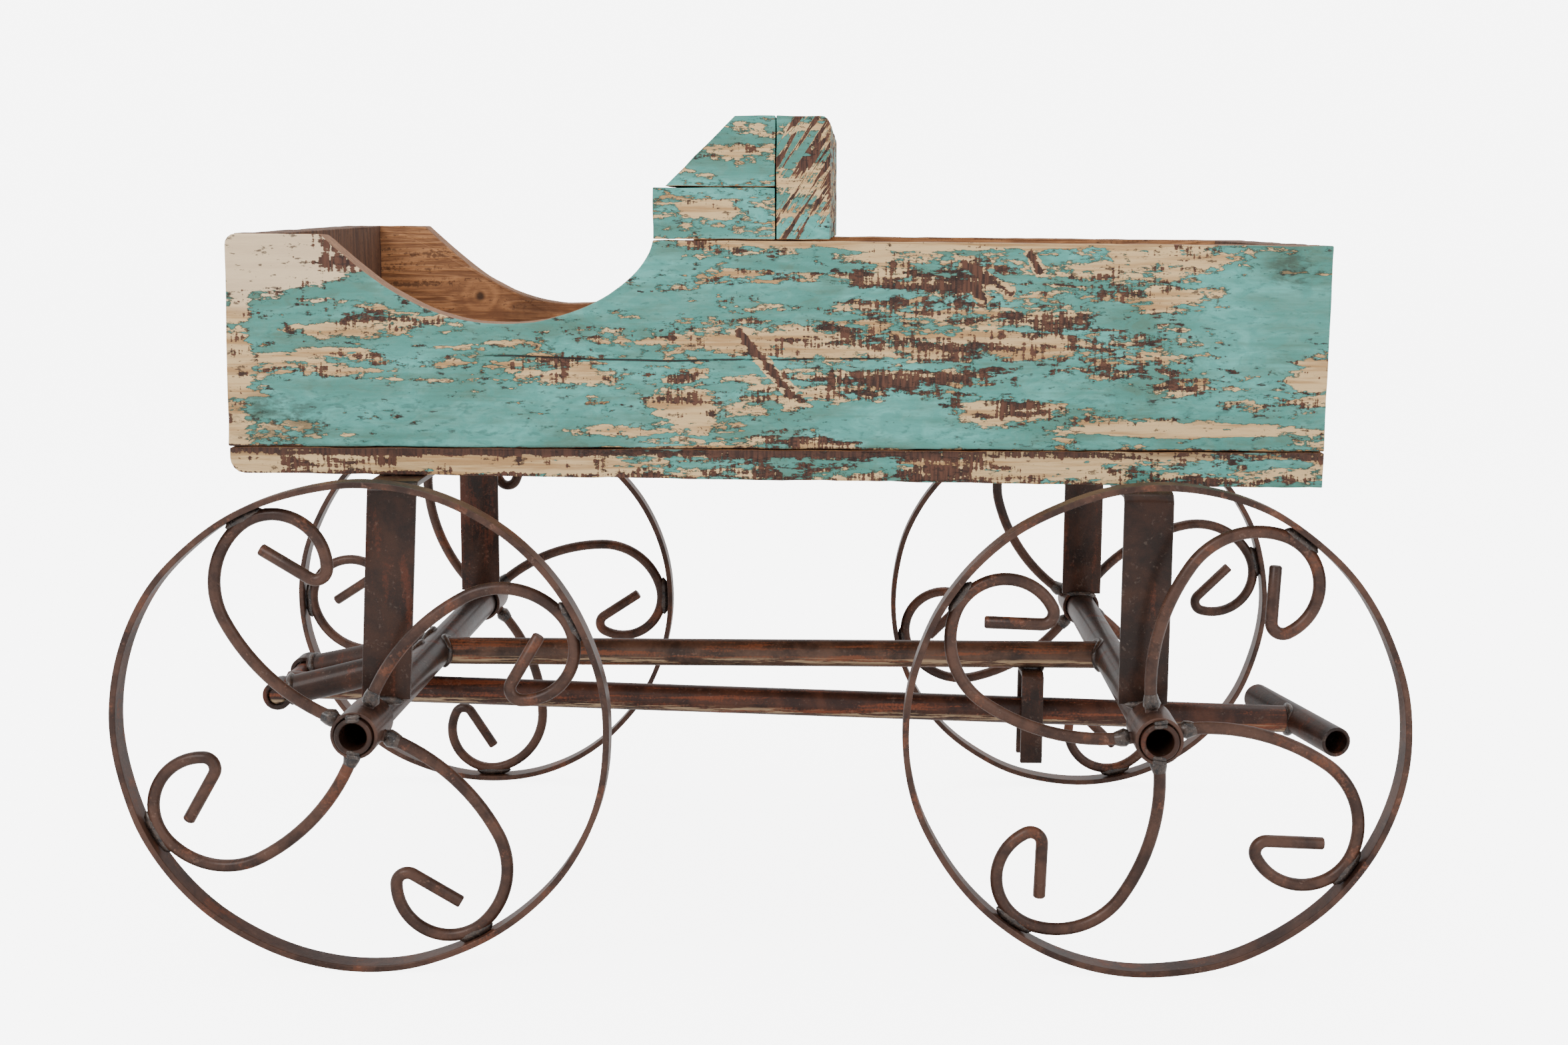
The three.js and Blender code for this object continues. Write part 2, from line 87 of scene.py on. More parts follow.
# %% [markdown]
# A pale floor and large soft lights, as in a product studio: one from the
# front left, a weaker one from the right, and one overhead. A small lamp would
# throw hard shadows of the thin rods, so each is over a metre across.

# %% Lights and floor
LIT_PLACE = Vector((0, 0, 0.2))


def soft_light(name, place, size, power):
    """A square area light of that size in metres, aimed at the cart."""
    lamp = bpy.data.lights.new(name, "AREA")
    lamp.size = size
    lamp.energy = power
    made = bpy.data.objects.new(name, lamp)
    made.location = place
    made.rotation_euler = (LIT_PLACE - Vector(place)).to_track_quat("-Z", "Y").to_euler()
    bpy.context.scene.collection.objects.link(made)


soft_light("key", (-1.3, -1.7, 1.7), 1.2, 26)
soft_light("fill", (1.7, -1.3, 0.9), 1.4, 8)
soft_light("top", (0.1, 0.5, 2.0), 1.5, 14)

bpy.ops.mesh.primitive_plane_add(size=30)
floor = bpy.context.object
floor.name = "floor"

print("floor and", len(bpy.data.lights), "lights")

# %% [markdown]
# Materials are sums of noise. Writing them as node links by hand is slow to
# read, so a small class lets a socket stand in a Python expression: adding two
# of them adds a Math node. Everything else goes through one method, node().

# %% Node helpers
class Value:
    """A node's output that can be used like a number."""

    def __init__(self, graph, socket):
        self.graph = graph
        self.socket = socket

    def maths(self, operation, first, second):
        return self.graph.node("ShaderNodeMath", {"operation": operation}, {0: first, 1: second})

    def __add__(self, other):
        return self.maths("ADD", self, other)

    def __radd__(self, other):
        return self.maths("ADD", other, self)

    def __sub__(self, other):
        return self.maths("SUBTRACT", self, other)

    def __rsub__(self, other):
        return self.maths("SUBTRACT", other, self)

    def __mul__(self, other):
        return self.maths("MULTIPLY", self, other)

    def __rmul__(self, other):
        return self.maths("MULTIPLY", other, self)

    def __truediv__(self, other):
        return self.maths("DIVIDE", self, other)

    def __abs__(self):
        return self.maths("ABSOLUTE", self, 0.0)

    def part(self, name):
        """Another output of the same node."""
        return Value(self.graph, self.socket.node.outputs[name])


class Graph:
    """Builds one node tree."""

    def __init__(self, tree):
        self.tree = tree

    def node(self, kind, settings=None, inputs=None, output=0):
        made = self.tree.nodes.new(kind)
        for name, value in (settings or {}).items():
            setattr(made, name, value)
        for name, value in (inputs or {}).items():
            self.feed(made.inputs[name], value)
        return Value(self, made.outputs[output])

    def feed(self, socket, value):
        if isinstance(value, Value):
            self.tree.links.new(value.socket, socket)
        else:
            socket.default_value = value

    def stretch(self, vector, scale):
        return self.node("ShaderNodeVectorMath", {"operation": "MULTIPLY"}, {0: vector, 1: scale})

    def grain(self, vector, scale, detail=5.0, rough=0.6, twist=0.0):
        """Noise with that many waves a metre along each axis."""
        return self.node("ShaderNodeTexNoise", {}, {
            "Vector": self.stretch(vector, scale), "Scale": 1.0,
            "Detail": detail, "Roughness": rough, "Distortion": twist})

    def step(self, value, low, high):
        """0 below low, 1 above high, and smooth between."""
        return self.node("ShaderNodeMapRange", {"interpolation_type": "SMOOTHSTEP"}, {
            "Value": value, "From Min": low, "From Max": high})

    def mix(self, factor, under, over, blend="MIX"):
        return self.node("ShaderNodeMix", {"data_type": "RGBA", "blend_type": blend}, {
            0: factor, 6: under, 7: over}, 2)

    def bump(self, height, distance, strength=1.0):
        return self.node("ShaderNodeBump", {}, {
            "Strength": strength, "Distance": distance, "Height": height})


def shade(red, green, blue):
    """A linear colour from the 0 to 255 values of a paint chart."""
    def linear(level):
        level /= 255
        return level / 12.92 if level <= 0.04045 else ((level + 0.055) / 1.055) ** 2.4
    return (linear(red), linear(green), linear(blue), 1.0)


def finish(name):
    """A new material, its graph and its surface shader."""
    material = bpy.data.materials.new(name)
    material.use_nodes = True
    return material, Graph(material.node_tree), material.node_tree.nodes["Principled BSDF"]


def dress(graph, surface, **inputs):
    """Feeds the surface shader: Base_Color=... feeds its Base Color socket."""
    for name, value in inputs.items():
        graph.feed(surface.inputs[name.replace("_", " ")], value)


print("helpers ready")

# %% [markdown]
# The studio floor is a near-white matt sheet with the faintest mottle. Stronger
# lamps would whiten it, but would bleach the cart too. Instead a Light Path node
# brightens the floor and the world for the camera's own rays only, so that the
# backdrop is nearly white and the finishes keep their depth.

# %% Floor and world finish
BLACK, WHITE = (0, 0, 0, 1), (1, 1, 1, 1)
WORLD_STRENGTH = 1.15
PALER = 6.0

floor_paper, g, surface = finish("floor_paper")
spot = g.node("ShaderNodeTexCoord").part("Object")
seen = g.node("ShaderNodeLightPath").part("Is Camera Ray")
dress(g, surface, Roughness=0.9, Emission_Color=g.mix(seen, BLACK, WHITE), Emission_Strength=PALER,
      Base_Color=g.mix(g.grain(spot, (3, 3, 3)), shade(246, 246, 246), shade(250, 250, 250)))
floor.data.materials.append(floor_paper)

world = bpy.data.worlds.new("studio")
world.use_nodes = True
g = Graph(world.node_tree)
background = world.node_tree.nodes["Background"]
seen = g.node("ShaderNodeLightPath").part("Is Camera Ray")
g.feed(background.inputs["Color"], WHITE)
g.feed(background.inputs["Strength"], WORLD_STRENGTH + seen * PALER)
bpy.context.scene.world = world
print("floor and world finish")

# %% [markdown]
# The steel is bare stock under clear lacquer: dark brown mill scale, redder in
# streaks, blue-black and shinier where the torch heated it. The heat comes
# from an attribute that each piece gets from its distance to the welds. Tubes
# that were dragged over other stock carry a pale worn line along their flank.

# %% Steel finish
def steel(name, dark, mid, rust, rust_share, run, worn=None):
    """run is the streak noise's waves a metre; worn is (start x, start z, slope) of a worn line."""
    material, g, surface = finish(name)
    spot = g.node("ShaderNodeTexCoord").part("Object")
    mottle = g.grain(spot, (45, 45, 45), 7, 0.65, 0.3)
    streak = g.grain(spot, run, 6, 0.65)
    fleck = g.grain(spot, (700, 700, 700), 3, 0.6)
    colour = g.mix(g.step(mottle, 0.36, 0.64), dark, mid)
    rusty = g.step(streak + 0.25 * fleck, 0.68 - 0.1 * rust_share, 0.8 - 0.1 * rust_share)
    colour = g.mix(rusty * 0.8, colour, rust)
    pale = g.step(g.grain(spot, (160, 160, 160), 6, 0.7) * 0.6 + 0.4 * fleck, 0.56, 0.64)
    colour = g.mix(pale * 0.14, colour, shade(150, 132, 120))
    rough = 0.36 + 0.22 * mottle + 0.12 * rusty
    if worn:
        start_x, start_z, slope = worn
        place = g.node("ShaderNodeSeparateXYZ", {}, {"Vector": spot})
        height = place.part("Z") - (place.part("X") - start_x) * slope
        near_line = 1 - g.step(abs(height - start_z), 0.0006, 0.0028)
        ragged = g.step(g.grain(spot, (28, 300, 520), 7, 0.7), 0.49, 0.54)
        line = near_line * ragged
        colour = g.mix(line * 0.85, colour, shade(176, 150, 118))
        rough = rough + 0.2 * line
    heat = g.node("ShaderNodeAttribute", {"attribute_name": "heat"}).part("Fac")
    scorch = g.step(heat + 0.5 * mottle - 0.25, 0.25, 0.75)
    colour = g.mix(scorch * 0.75, colour, shade(32, 29, 31))
    ash = g.step(heat + 0.6 * streak, 1.0, 1.25)
    colour = g.mix(ash * 0.3, colour, shade(122, 118, 120))
    dress(g, surface, Base_Color=colour, Roughness=rough - 0.15 * scorch, Metallic=0.25,
          Specular_IOR_Level=0.25, Coat_Weight=0.2, Coat_Roughness=0.2,
          Normal=g.bump(mottle + 0.35 * fleck, 0.00035, 0.7))
    return material


# %% [markdown]
# Four stocks use it. The rods and the upright bars are streaked evenly or along
# their height, and the spine and the pull bar along their length. The worn line
# runs a little below each tube's middle, where it lay on the next one. The pull
# bar droops, so its line has the bar's slope.

# %% The four steels
AXLE_Z = 127 * MM
HINGE_X, HINGE_Z = -288 * MM, 105.7 * MM
BAR_SLOPE = -math.tan(math.radians(1.648))
wheel_steel = steel("wheel_steel", shade(50, 32, 25), shade(84, 57, 45), shade(108, 64, 44),
                    0.1, (40, 40, 40))
frame_steel = steel("frame_steel", shade(34, 20, 14), shade(60, 36, 25), shade(88, 46, 30),
                    0.1, (70, 70, 14))
spine_steel = steel("spine_steel", shade(54, 39, 32), shade(94, 68, 54), shade(128, 74, 48),
                    0.45, (12, 200, 200), worn=(0, AXLE_Z - 3.6 * MM, 0))
bar_steel = steel("bar_steel", shade(46, 27, 21), shade(80, 47, 34), shade(126, 66, 40),
                  0.55, (10, 180, 180), worn=(HINGE_X, HINGE_Z - 4.4 * MM, BAR_SLOPE))
print("steels", wheel_steel.name, frame_steel.name, spine_steel.name, bar_steel.name)

# %% [markdown]
# The screws are dulled zinc. The weld beads are darker than the stock, lumpy
# and glassy from the slag, with pale flecks of spatter.

# %% Zinc and weld
screw_zinc, g, surface = finish("screw_zinc")
spot = g.node("ShaderNodeTexCoord").part("Object")
dulled = g.grain(spot, (400, 400, 400), 5)
dress(g, surface, Metallic=0.9, Roughness=0.3 + 0.3 * dulled,
      Base_Color=g.mix(dulled, shade(96, 92, 88), shade(168, 166, 160)))

weld_steel, g, surface = finish("weld_steel")
spot = g.node("ShaderNodeTexCoord").part("Object")
slag = g.grain(spot, (260, 260, 260), 7, 0.7, 0.5)
spatter = g.grain(spot, (900, 900, 900), 4, 0.6)
colour = g.mix(g.step(slag, 0.38, 0.62), shade(30, 26, 26), shade(76, 62, 54))
colour = g.mix(g.step(spatter, 0.6, 0.68) * 0.4, colour, shade(150, 144, 140))
dress(g, surface, Base_Color=colour, Metallic=0.5, Roughness=0.22 + 0.3 * slag, Coat_Weight=0.5,
      Coat_Roughness=0.15, Normal=g.bump(slag + 0.3 * spatter, 0.0008, 0.8))
print("zinc and weld finishes")

# %% [markdown]
# Bare softwood has rings that show as long soft stripes along the board, with
# finer fibres between them, and grime that dulls it. On the far side a knot
# shows through the scoop, so the rings can be pushed aside round one place.

# %% Bare wood
def bare_wood(name, light, dark, along, knot=None):
    """along is the noise's waves a metre, low along the grain; knot is the place of a knot."""
    material, g, surface = finish(name)
    spot = g.node("ShaderNodeTexCoord").part("Object")
    rings = g.grain(spot, along, 4, 0.55, 0.9)
    if knot:
        apart = g.node("ShaderNodeVectorMath", {"operation": "DISTANCE"}, {0: spot, 1: knot},
                       "Value")
        ring = g.node("ShaderNodeMath", {"operation": "SINE"}, {0: (apart + 0.004 * rings) * 900})
        around = 1 - g.step(apart, 0.006, 0.026)
        rings = rings * (1 - around) + around * (0.5 + 0.012 * ring)
    stripe = g.node("ShaderNodeMath", {"operation": "SINE"}, {0: rings * 44})
    fibre = g.grain(spot, [5 * wave for wave in along], 5, 0.7)
    dirt = g.grain(spot, (14, 14, 14), 6, 0.65)
    colour = g.mix(g.step(stripe * 0.1 + fibre, 0.32, 0.68), dark, light)
    pits = g.grain(spot, (420, 420, 420), 3, 0.7)
    colour = g.mix(g.step(fibre + 0.5 * pits, 0.82, 0.92) * 0.7, colour, shade(60, 38, 27))
    colour = g.mix(g.step(dirt, 0.5, 0.72) * 0.6, colour, shade(72, 47, 32))
    if knot:
        heart = 1 - g.step(apart + 0.006 * dirt, 0.004, 0.0075)
        colour = g.mix(heart * 0.85, colour, shade(40, 26, 19))
    dress(g, surface, Base_Color=colour, Roughness=0.72 + 0.2 * dirt,
          Normal=g.bump(fibre + 0.3 * stripe, 0.0006, 0.6))
    return material


near_lo, near_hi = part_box("box_side_near")
far_lo, far_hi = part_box("box_side_far")
FRONT_X, REAR_X = near_lo.x, near_hi.x
SEAM_Z = near_lo.z
KNOT = (FRONT_X + 93 * MM, far_lo.y, SEAM_Z + 68 * MM)
side_wood = bare_wood("side_wood", shade(194, 138, 92), shade(132, 89, 58), (5, 60, 60), KNOT)
end_wood = bare_wood("end_wood", shade(110, 76, 54), shade(70, 47, 35), (60, 60, 5))
edge_wood = bare_wood("edge_wood", shade(156, 113, 80), shade(116, 80, 56), (30, 200, 30))
print("bare wood, with a knot at", tuple(round(place, 3) for place in KNOT))

# %% [markdown]
# The paint is the cart's face. Turquoise lies over a cream undercoat over dark
# brown wood, and has come away in long ragged streaks. Noises, from broad ones
# stretched along the board down to crumbs, add up to how far each point has
# worn, and past a level the cream shows. A second sum says where the cream is
# scraped off too, in short upright marks, and bares the wood. A painter would
# mask such places by hand; here ellipses and straight cuts raise or lower the
# two sums where the real board is barer or better kept.

# %% Places on a board
def zone(g, place, x, z, half_x, half_z, blur=0.85):
    """1 inside an ellipse on the board's face, in mm from its front end and lower edge."""
    across = (place.part("X") - (FRONT_X + x * MM)) / (half_x * MM)
    up = (place.part("Z") - (SEAM_Z + z * MM)) / (half_z * MM)
    return 1 - g.step(across * across + up * up, 1 - blur, 1 + blur)


def gouge(g, place, rough, x1, z1, x2, z2, half):
    """1 along a ragged straight cut between two points, given in mm as for zone."""
    length = math.hypot(x2 - x1, z2 - z1)
    run_x, run_z = (x2 - x1) / length, (z2 - z1) / length
    from_x = place.part("X") - (FRONT_X + x1 * MM)
    from_z = place.part("Z") - (SEAM_Z + z1 * MM)
    across = abs(from_x * run_z - from_z * run_x) + (rough - 0.5) * (9 * MM)
    along = from_x * run_x + from_z * run_z
    taper = 3
    inside = g.step(along, 0, taper * MM) * (1 - g.step(along, (length - taper) * MM, length * MM))
    return (1 - g.step(across, half * MM, (half + 0.5) * MM)) * inside


def band(g, height, middle, half, blur):
    """1 where height is within half of middle, in metres."""
    return 1 - g.step(abs(height - middle), half, half + blur)


print("box from x", round(FRONT_X, 4), "to", round(REAR_X, 4), "and seam at z", round(SEAM_Z, 4))

# %% [markdown]
# The material is one function, because four painted surfaces share it. The
# noises come first, then how worn and how deeply scraped a point is, then the
# colours, with dark flecks and dirt on top, and a painted shadow: a dark line
# round the edge of each chip. The masks that pick the colours also set the
# bump's height, so that every chip has an edge. The crack is a thin wandering
# line, and the block's upright has slanting saw marks.

# %% Peeling paint
TURQUOISE = shade(58, 136, 126)
PALE_TURQUOISE = shade(96, 174, 164)
DULL_TURQUOISE = shade(72, 114, 98)
CREAM = shade(214, 180, 130)
DARK_CREAM = shade(172, 132, 84)
PALE_CREAM = shade(228, 204, 168)
OLD_WOOD = shade(92, 58, 43)
DARK_WOOD = shade(48, 30, 24)


def peeling_paint(name, wear, scrape, seed, saw=0.0, cuts=()):
    """A painted board. wear and scrape list (amount, then zone's numbers): places made barer.

    saw is the strength of slanting saw marks, and cuts lists gouge's numbers.
    """
    material, g, surface = finish(name)
    here = g.node("ShaderNodeTexCoord").part("Object")
    place = g.node("ShaderNodeSeparateXYZ", {}, {"Vector": here})
    spot = g.node("ShaderNodeVectorMath", {"operation": "ADD"}, {0: here, 1: (seed, 0, seed)})
    broad = g.grain(spot, (11, 11, 85), 7, 0.62, 0.35)
    chips = g.grain(spot, (60, 60, 190), 8, 0.7, 0.3)
    crumbs = g.grain(spot, (150, 150, 380), 5, 0.65, 0.2)
    broad_scrape = g.grain(spot, (16, 16, 95), 7, 0.66, 0.5)
    scrape_chips = g.grain(spot, (100, 100, 260), 6, 0.7)
    hatch = g.grain(spot, (620, 620, 60), 3, 0.5)
    brush = g.grain(spot, (12, 12, 240), 6, 0.65)
    drag = g.grain(spot, (300, 300, 300), 4, 0.6)
    weather = g.grain(spot, (9, 9, 26), 6, 0.65, 0.4)
    relief = g.grain(spot, (70, 70, 150), 6, 0.6, 1.2)
    worn = 0.45 * broad + 0.34 * chips + 0.21 * crumbs
    for amount, *where in wear:
        worn = worn + amount * zone(g, place, *where)
    deep = 0.45 * broad_scrape + 0.33 * scrape_chips + 0.22 * hatch
    for amount, *where in scrape:
        deep = deep + amount * zone(g, place, *where)
    if saw:
        slant = g.node("ShaderNodeVectorRotate", {"rotation_type": "Y_AXIS"}, {
            "Vector": here, "Angle": math.radians(-33)})
        teeth = g.grain(slant, (330, 20, 22), 4, 0.6, 0.3)
        deep = deep + saw * (g.step(teeth, 0.5, 0.56) - 0.2)
        worn = worn + 0.6 * saw * (g.step(teeth, 0.46, 0.54) - 0.25)
    near_seam = band(g, place.part("Z"), SEAM_Z - 1.5 * MM, 1.2 * MM, 2.5 * MM)
    front_part = 1 - 0.6 * g.step(place.part("X"), FRONT_X + 150 * MM, FRONT_X + 320 * MM)
    worn = worn + 0.05 * near_seam
    deep = deep + 0.12 * near_seam * front_part
    for cut in cuts:
        worn = worn + 0.2 * gouge(g, place, chips, *cut[:4], cut[4] + 1.3)
        deep = deep + 0.2 * gouge(g, place, crumbs, *cut)
    cream_mask = g.step(worn, 0.527, 0.537)
    wood_mask = g.step(deep, 0.545, 0.558) * g.step(worn, 0.495, 0.512)
    paint = g.mix(g.step(weather + 0.4 * brush, 0.58, 0.86), DULL_TURQUOISE, PALE_TURQUOISE)
    paint = g.mix(g.step(relief, 0.36, 0.62) * 0.6, paint, TURQUOISE)
    paint = g.mix(g.step(crumbs + 0.5 * brush, 0.8, 0.92) * 0.5, paint, shade(42, 92, 84))
    cream = g.mix(g.step(brush, 0.42, 0.62), CREAM, DARK_CREAM)
    whiter = zone(g, place, 26, 96, 46, 26, 0.6)
    cream = g.mix(whiter * 0.75, cream, PALE_CREAM)
    wood = g.mix(g.step(hatch, 0.36, 0.62), DARK_WOOD, OLD_WOOD)
    colour = g.mix(cream_mask, paint, cream)
    # Painted shadow: rim is a band at the edge of each chip, where the turquoise steps down to the
    # cream, and it is darkened there to dark olive.
    rim = g.step(worn, 0.513, 0.526) * (1 - g.step(worn, 0.53, 0.54))
    colour = g.mix(rim * g.step(drag, 0.4, 0.56) * 0.7, colour, shade(62, 66, 54))
    colour = g.mix(wood_mask, colour, wood)
    flecks = g.step(scrape_chips * 0.6 + 0.4 * crumbs, 0.57, 0.59) * g.step(worn, 0.455, 0.51)
    colour = g.mix(flecks * 0.8, colour, DARK_WOOD)
    grime = zone(g, place, 26, 14, 26, 13) + zone(g, place, 545, 94, 14, 12)
    colour = g.mix(grime * g.step(chips, 0.42, 0.6) * 0.7, colour, shade(44, 50, 36))
    ridge = g.grain(spot, (5, 5, 5), 3, 0.5)
    crack_z = SEAM_Z + 47 * MM + 14 * MM * (ridge - 0.5)
    crack_run = g.step(place.part("X"), FRONT_X + 118 * MM, FRONT_X + 124 * MM) * (
        1 - g.step(place.part("X"), FRONT_X + 330 * MM, FRONT_X + 345 * MM))
    crack = band(g, place.part("Z"), crack_z, 0.15 * MM, 0.5 * MM)
    crack = crack * crack_run * g.step(brush + chips, 0.86, 0.98)
    colour = g.mix(crack, colour, shade(24, 18, 14))
    height = 1 - 0.5 * cream_mask - 0.35 * wood_mask - crack + 0.22 * brush + 0.5 * relief
    height = height + 0.12 * drag + 0.2 * wood_mask * hatch + 0.15 * rim
    colour = g.mix(near_seam * 0.5, colour, shade(60, 38, 30))
    dress(g, surface, Base_Color=colour,
          Roughness=0.55 + 0.2 * cream_mask + 0.15 * wood_mask - 0.1 * brush,
          Normal=g.bump(height, 0.0014, 0.9))
    return material


print("paint colours and material ready")

# %% [markdown]
# Where the boards are barer or better kept is the only part that is placed one
# by one: the pale front corner, the bare streaks at mid height, the fresh paint at
# the rear, and the short cuts on the near side. The first number of each place
# is how much barer it is, and the rest are zone's or gouge's numbers in mm.

# %% Painted boards
board_wear = [
    (0.2, 24, 100, 48, 17), (0.10, 4, 60, 9, 60), (0.07, 64, 59, 40, 6), (0.055, 53, 44, 28, 7),
    (-0.06, 95, 84, 60, 9), (-0.06, 115, 16, 95, 20), (-0.055, 190, 72, 48, 24),
    (0.085, 236, 21, 15, 12),
    (0.045, 138, 52, 30, 4), (0.045, 181, 38, 14, 5), (0.05, 228, 39, 22, 4),
    (0.07, 198, 10, 28, 3.5), (0.1, 350, 106, 110, 4), (0.03, 380, 66, 140, 46),
    (-0.08, 350, 14, 40, 12), (-0.07, 545, 82, 40, 26), (0.09, 500, 11, 68, 3.5),
    (0.09, 556, 40, 12, 8), (-0.05, 480, 25, 60, 7), (-0.05, 290, 88, 24, 20),
    (-0.07, 2, 84, 4, 12), (0.05, 396, 21, 45, 6), (0.05, 306, 6, 34, 5),
]
board_scrape = [
    (0.075, 327, 32, 30, 8), (0.06, 433, 37, 72, 7), (0.04, 330, 87, 56, 9),
    (0.035, 400, 66, 120, 30),
    (0.05, 235, 30, 12, 8), (-0.12, 20, 98, 26, 14), (0.035, 55, 98, 16, 9), (0.04, 64, 59, 30, 6),
    (-0.08, 350, 14, 40, 10), (0.055, 396, 21, 45, 5), (0.06, 306, 6, 34, 5),
    (-0.07, 545, 82, 46, 30),
    (-0.06, 115, 15, 95, 22), (-0.06, 500, 11, 68, 4),
]
board_cuts = [
    (262, 62, 292, 27, 1.6), (376, 97, 404, 79, 1.0), (410, 103, 418, 89, 1.3),
    (380, 86, 391, 75, 1.2),
]
floor_wear = [
    (0.14, 60, -10, 140, 12), (0.05, 330, -8, 130, 12), (-0.04, 250, -8, 40, 12),
    (0.02, 470, -8, 90, 12),
]
floor_scrape = [
    (0.02, 60, -8, 160, 8), (0.07, 320, -7, 70, 10), (0.09, 100, -17, 200, 4),
    (0.07, 480, -17, 120, 4),
]
block_wear = [(0.07, 248, 122, 14, 5), (0.05, 268, 150, 20, 6), (-0.03, 240, 115, 40, 10)]
side_paint = peeling_paint("side_paint", board_wear, board_scrape, 0.0, cuts=board_cuts)
floor_paint = peeling_paint("floor_paint", floor_wear, floor_scrape, 3.7)
block_paint = peeling_paint("block_paint", block_wear, [(-0.03, 240, 130, 60, 40)], 7.3)
upright_paint = peeling_paint("upright_paint", [(0.02, 300, 140, 30, 40)], [], 9.1, 0.14)
print("paint finishes", len(side_paint.node_tree.nodes), "nodes each")

# %% [markdown]
# Every steel piece that is bent, cut or turned is made by one of three tools:
# a lathe for tubes and pins, an eased copy of a CAD solid for flat bar, and
# Geometry Nodes for rod, strip and weld beads that follow a path.

# %% Finished pieces
def keep(name, mesh, body, slot, *materials, stands_for=()):
    """Makes the mesh a finished piece that rides on a body and replaces CAD nodes."""
    for material in materials:
        mesh.materials.append(material)
    piece = bpy.data.objects.new(name, mesh)
    bpy.context.scene.collection.objects.link(piece)
    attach(piece, body)
    if stands_for:
        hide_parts(*stands_for)
    return piece


print("keep() finishes a piece")

# %% [markdown]
# Real tubes are never quite square-cut, and their edges are broken with a file.
# The lathe makes a tube from its section, so the lip, the bore and the ragged
# end are all in one closed mesh. Rings along the tube give the heat attribute
# points to be stored on.

# %% Heat, lathe and flat bar
def heated(mesh, welds, reach=9 * MM):
    """Stores how near each point is to a weld, for the scorch marks."""
    heat = mesh.attributes.new("heat", "FLOAT", "POINT")
    far_off = 1.0
    for point, value in zip(mesh.vertices, heat.data):
        nearest = min(((point.co - weld).length for weld in welds), default=far_off)
        value.value = math.exp(-((nearest / reach) ** 2) * 0.5)
    return mesh


def smooth(mesh):
    """Shades round everything but corners of more than 40 degrees."""
    for face in mesh.polygons:
        face.use_smooth = True
    mesh.set_sharp_from_angle(angle=math.radians(40))
    return mesh


def uneven(angle, waves, seed):
    """Smooth noise from -1 to 1 round a circle, which meets itself at the full turn."""
    return noise.noise(Vector((math.cos(angle) * waves, math.sin(angle) * waves, seed)))


def turned(profile, start, direction, sides=40, ragged=0.0, seed=0.0):
    """A solid of revolution. profile lists (along, radius) round the section, outside first."""
    turn = direction.normalized().to_track_quat("Z", "Y").to_matrix()
    low, high = min(along for along, _ in profile), max(along for along, _ in profile)
    near_end = 1.2 * MM
    vertices = []
    for along, radius in profile:
        for side in range(sides):
            angle = 2 * math.pi * side / sides
            spot = Vector((radius * math.cos(angle), radius * math.sin(angle), along))
            wobble = abs(ragged * uneven(angle, 3, seed + along))
            if along - low < near_end:
                spot.z += wobble
            if high - along < near_end:
                spot.z -= wobble
            vertices.append(start + turn @ spot)
    rings = len(profile)
    faces = [(ring * sides + side, ring * sides + (side + 1) % sides,
              (ring + 1) % rings * sides + (side + 1) % sides, (ring + 1) % rings * sides + side)
             for ring in range(rings) for side in range(sides)]
    mesh = bpy.data.meshes.new("turned")
    mesh.from_pydata(vertices, [], faces)
    return mended(mesh)


def mended(mesh):
    """Merges doubles and points every face outwards."""
    shape = bmesh.new()
    shape.from_mesh(mesh)
    bmesh.ops.remove_doubles(shape, verts=shape.verts, dist=1e-6)
    bmesh.ops.dissolve_degenerate(shape, edges=shape.edges, dist=1e-7)
    bmesh.ops.recalc_face_normals(shape, faces=shape.faces)
    shape.to_mesh(mesh)
    shape.free()
    return mesh


def tube(start, end, outer, bore, lip=0.5 * MM, ring_step=4 * MM, ragged=0.25 * MM):
    """An open tube between two points, with eased and slightly ragged ends."""
    length = (end - start).length
    count = max(2, round(length / ring_step))
    profile = [(0, outer / 2 - lip)]
    profile += [(lip + (length - 2 * lip) * i / count, outer / 2) for i in range(count + 1)]
    profile += [(length, outer / 2 - lip), (length, bore / 2 + lip), (length - lip, bore / 2),
                (lip, bore / 2), (0, bore / 2 + lip)]
    own_seed = start.x * 90 + start.y * 70
    return smooth(turned(profile, start, end - start, ragged=ragged, seed=own_seed))


def pin(start, end, diameter, lip=0.8 * MM):
    """A solid pin with chamfered ends."""
    length = (end - start).length
    radius = diameter / 2
    profile = [(0, 0), (0, radius - lip), (lip, radius), (length - lip, radius),
               (length, radius - lip), (length, 0)]
    return smooth(turned(profile, start, end - start))


def eased(node, width, angle=math.radians(35)):
    """A copy of a CAD solid with its sharp edges rounded."""
    shape = bmesh.new()
    shape.from_mesh(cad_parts[node].data)
    bmesh.ops.remove_doubles(shape, verts=shape.verts, dist=2e-6)
    bmesh.ops.dissolve_limit(shape, angle_limit=math.radians(1), verts=shape.verts,
                             edges=shape.edges)
    sharp = [edge for edge in shape.edges if edge.is_manifold and edge.calc_face_angle() > angle]
    bmesh.ops.bevel(shape, geom=sharp, offset=width, segments=2, affect="EDGES", profile=0.5)
    mesh = bpy.data.meshes.new(node)
    shape.to_mesh(mesh)
    shape.free()
    return smooth(mesh)


def middle(node):
    lowest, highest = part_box(node)
    return (lowest + highest) / 2


print("lathe and flat bar ready")

# %% [markdown]
# Rod, strip and weld beads are all a section pushed along a path. One tree does
# the pushing: it turns a mesh of edges into curves, gives them the thickness
# stored on their points, sweeps a circle along them, and roughens the skin by
# noise for welds. Another repeats one scroll round the hub, each a degree or so
# off, as hand work is. The rim's tree sweeps a flat strip round a circle that
# is pressed slightly out of round.

# %% Tree helpers
SOCKETS = {"Material": "NodeSocketMaterial", "Count": "NodeSocketInt", "Sides": "NodeSocketInt",
           "Seed": "NodeSocketInt"}


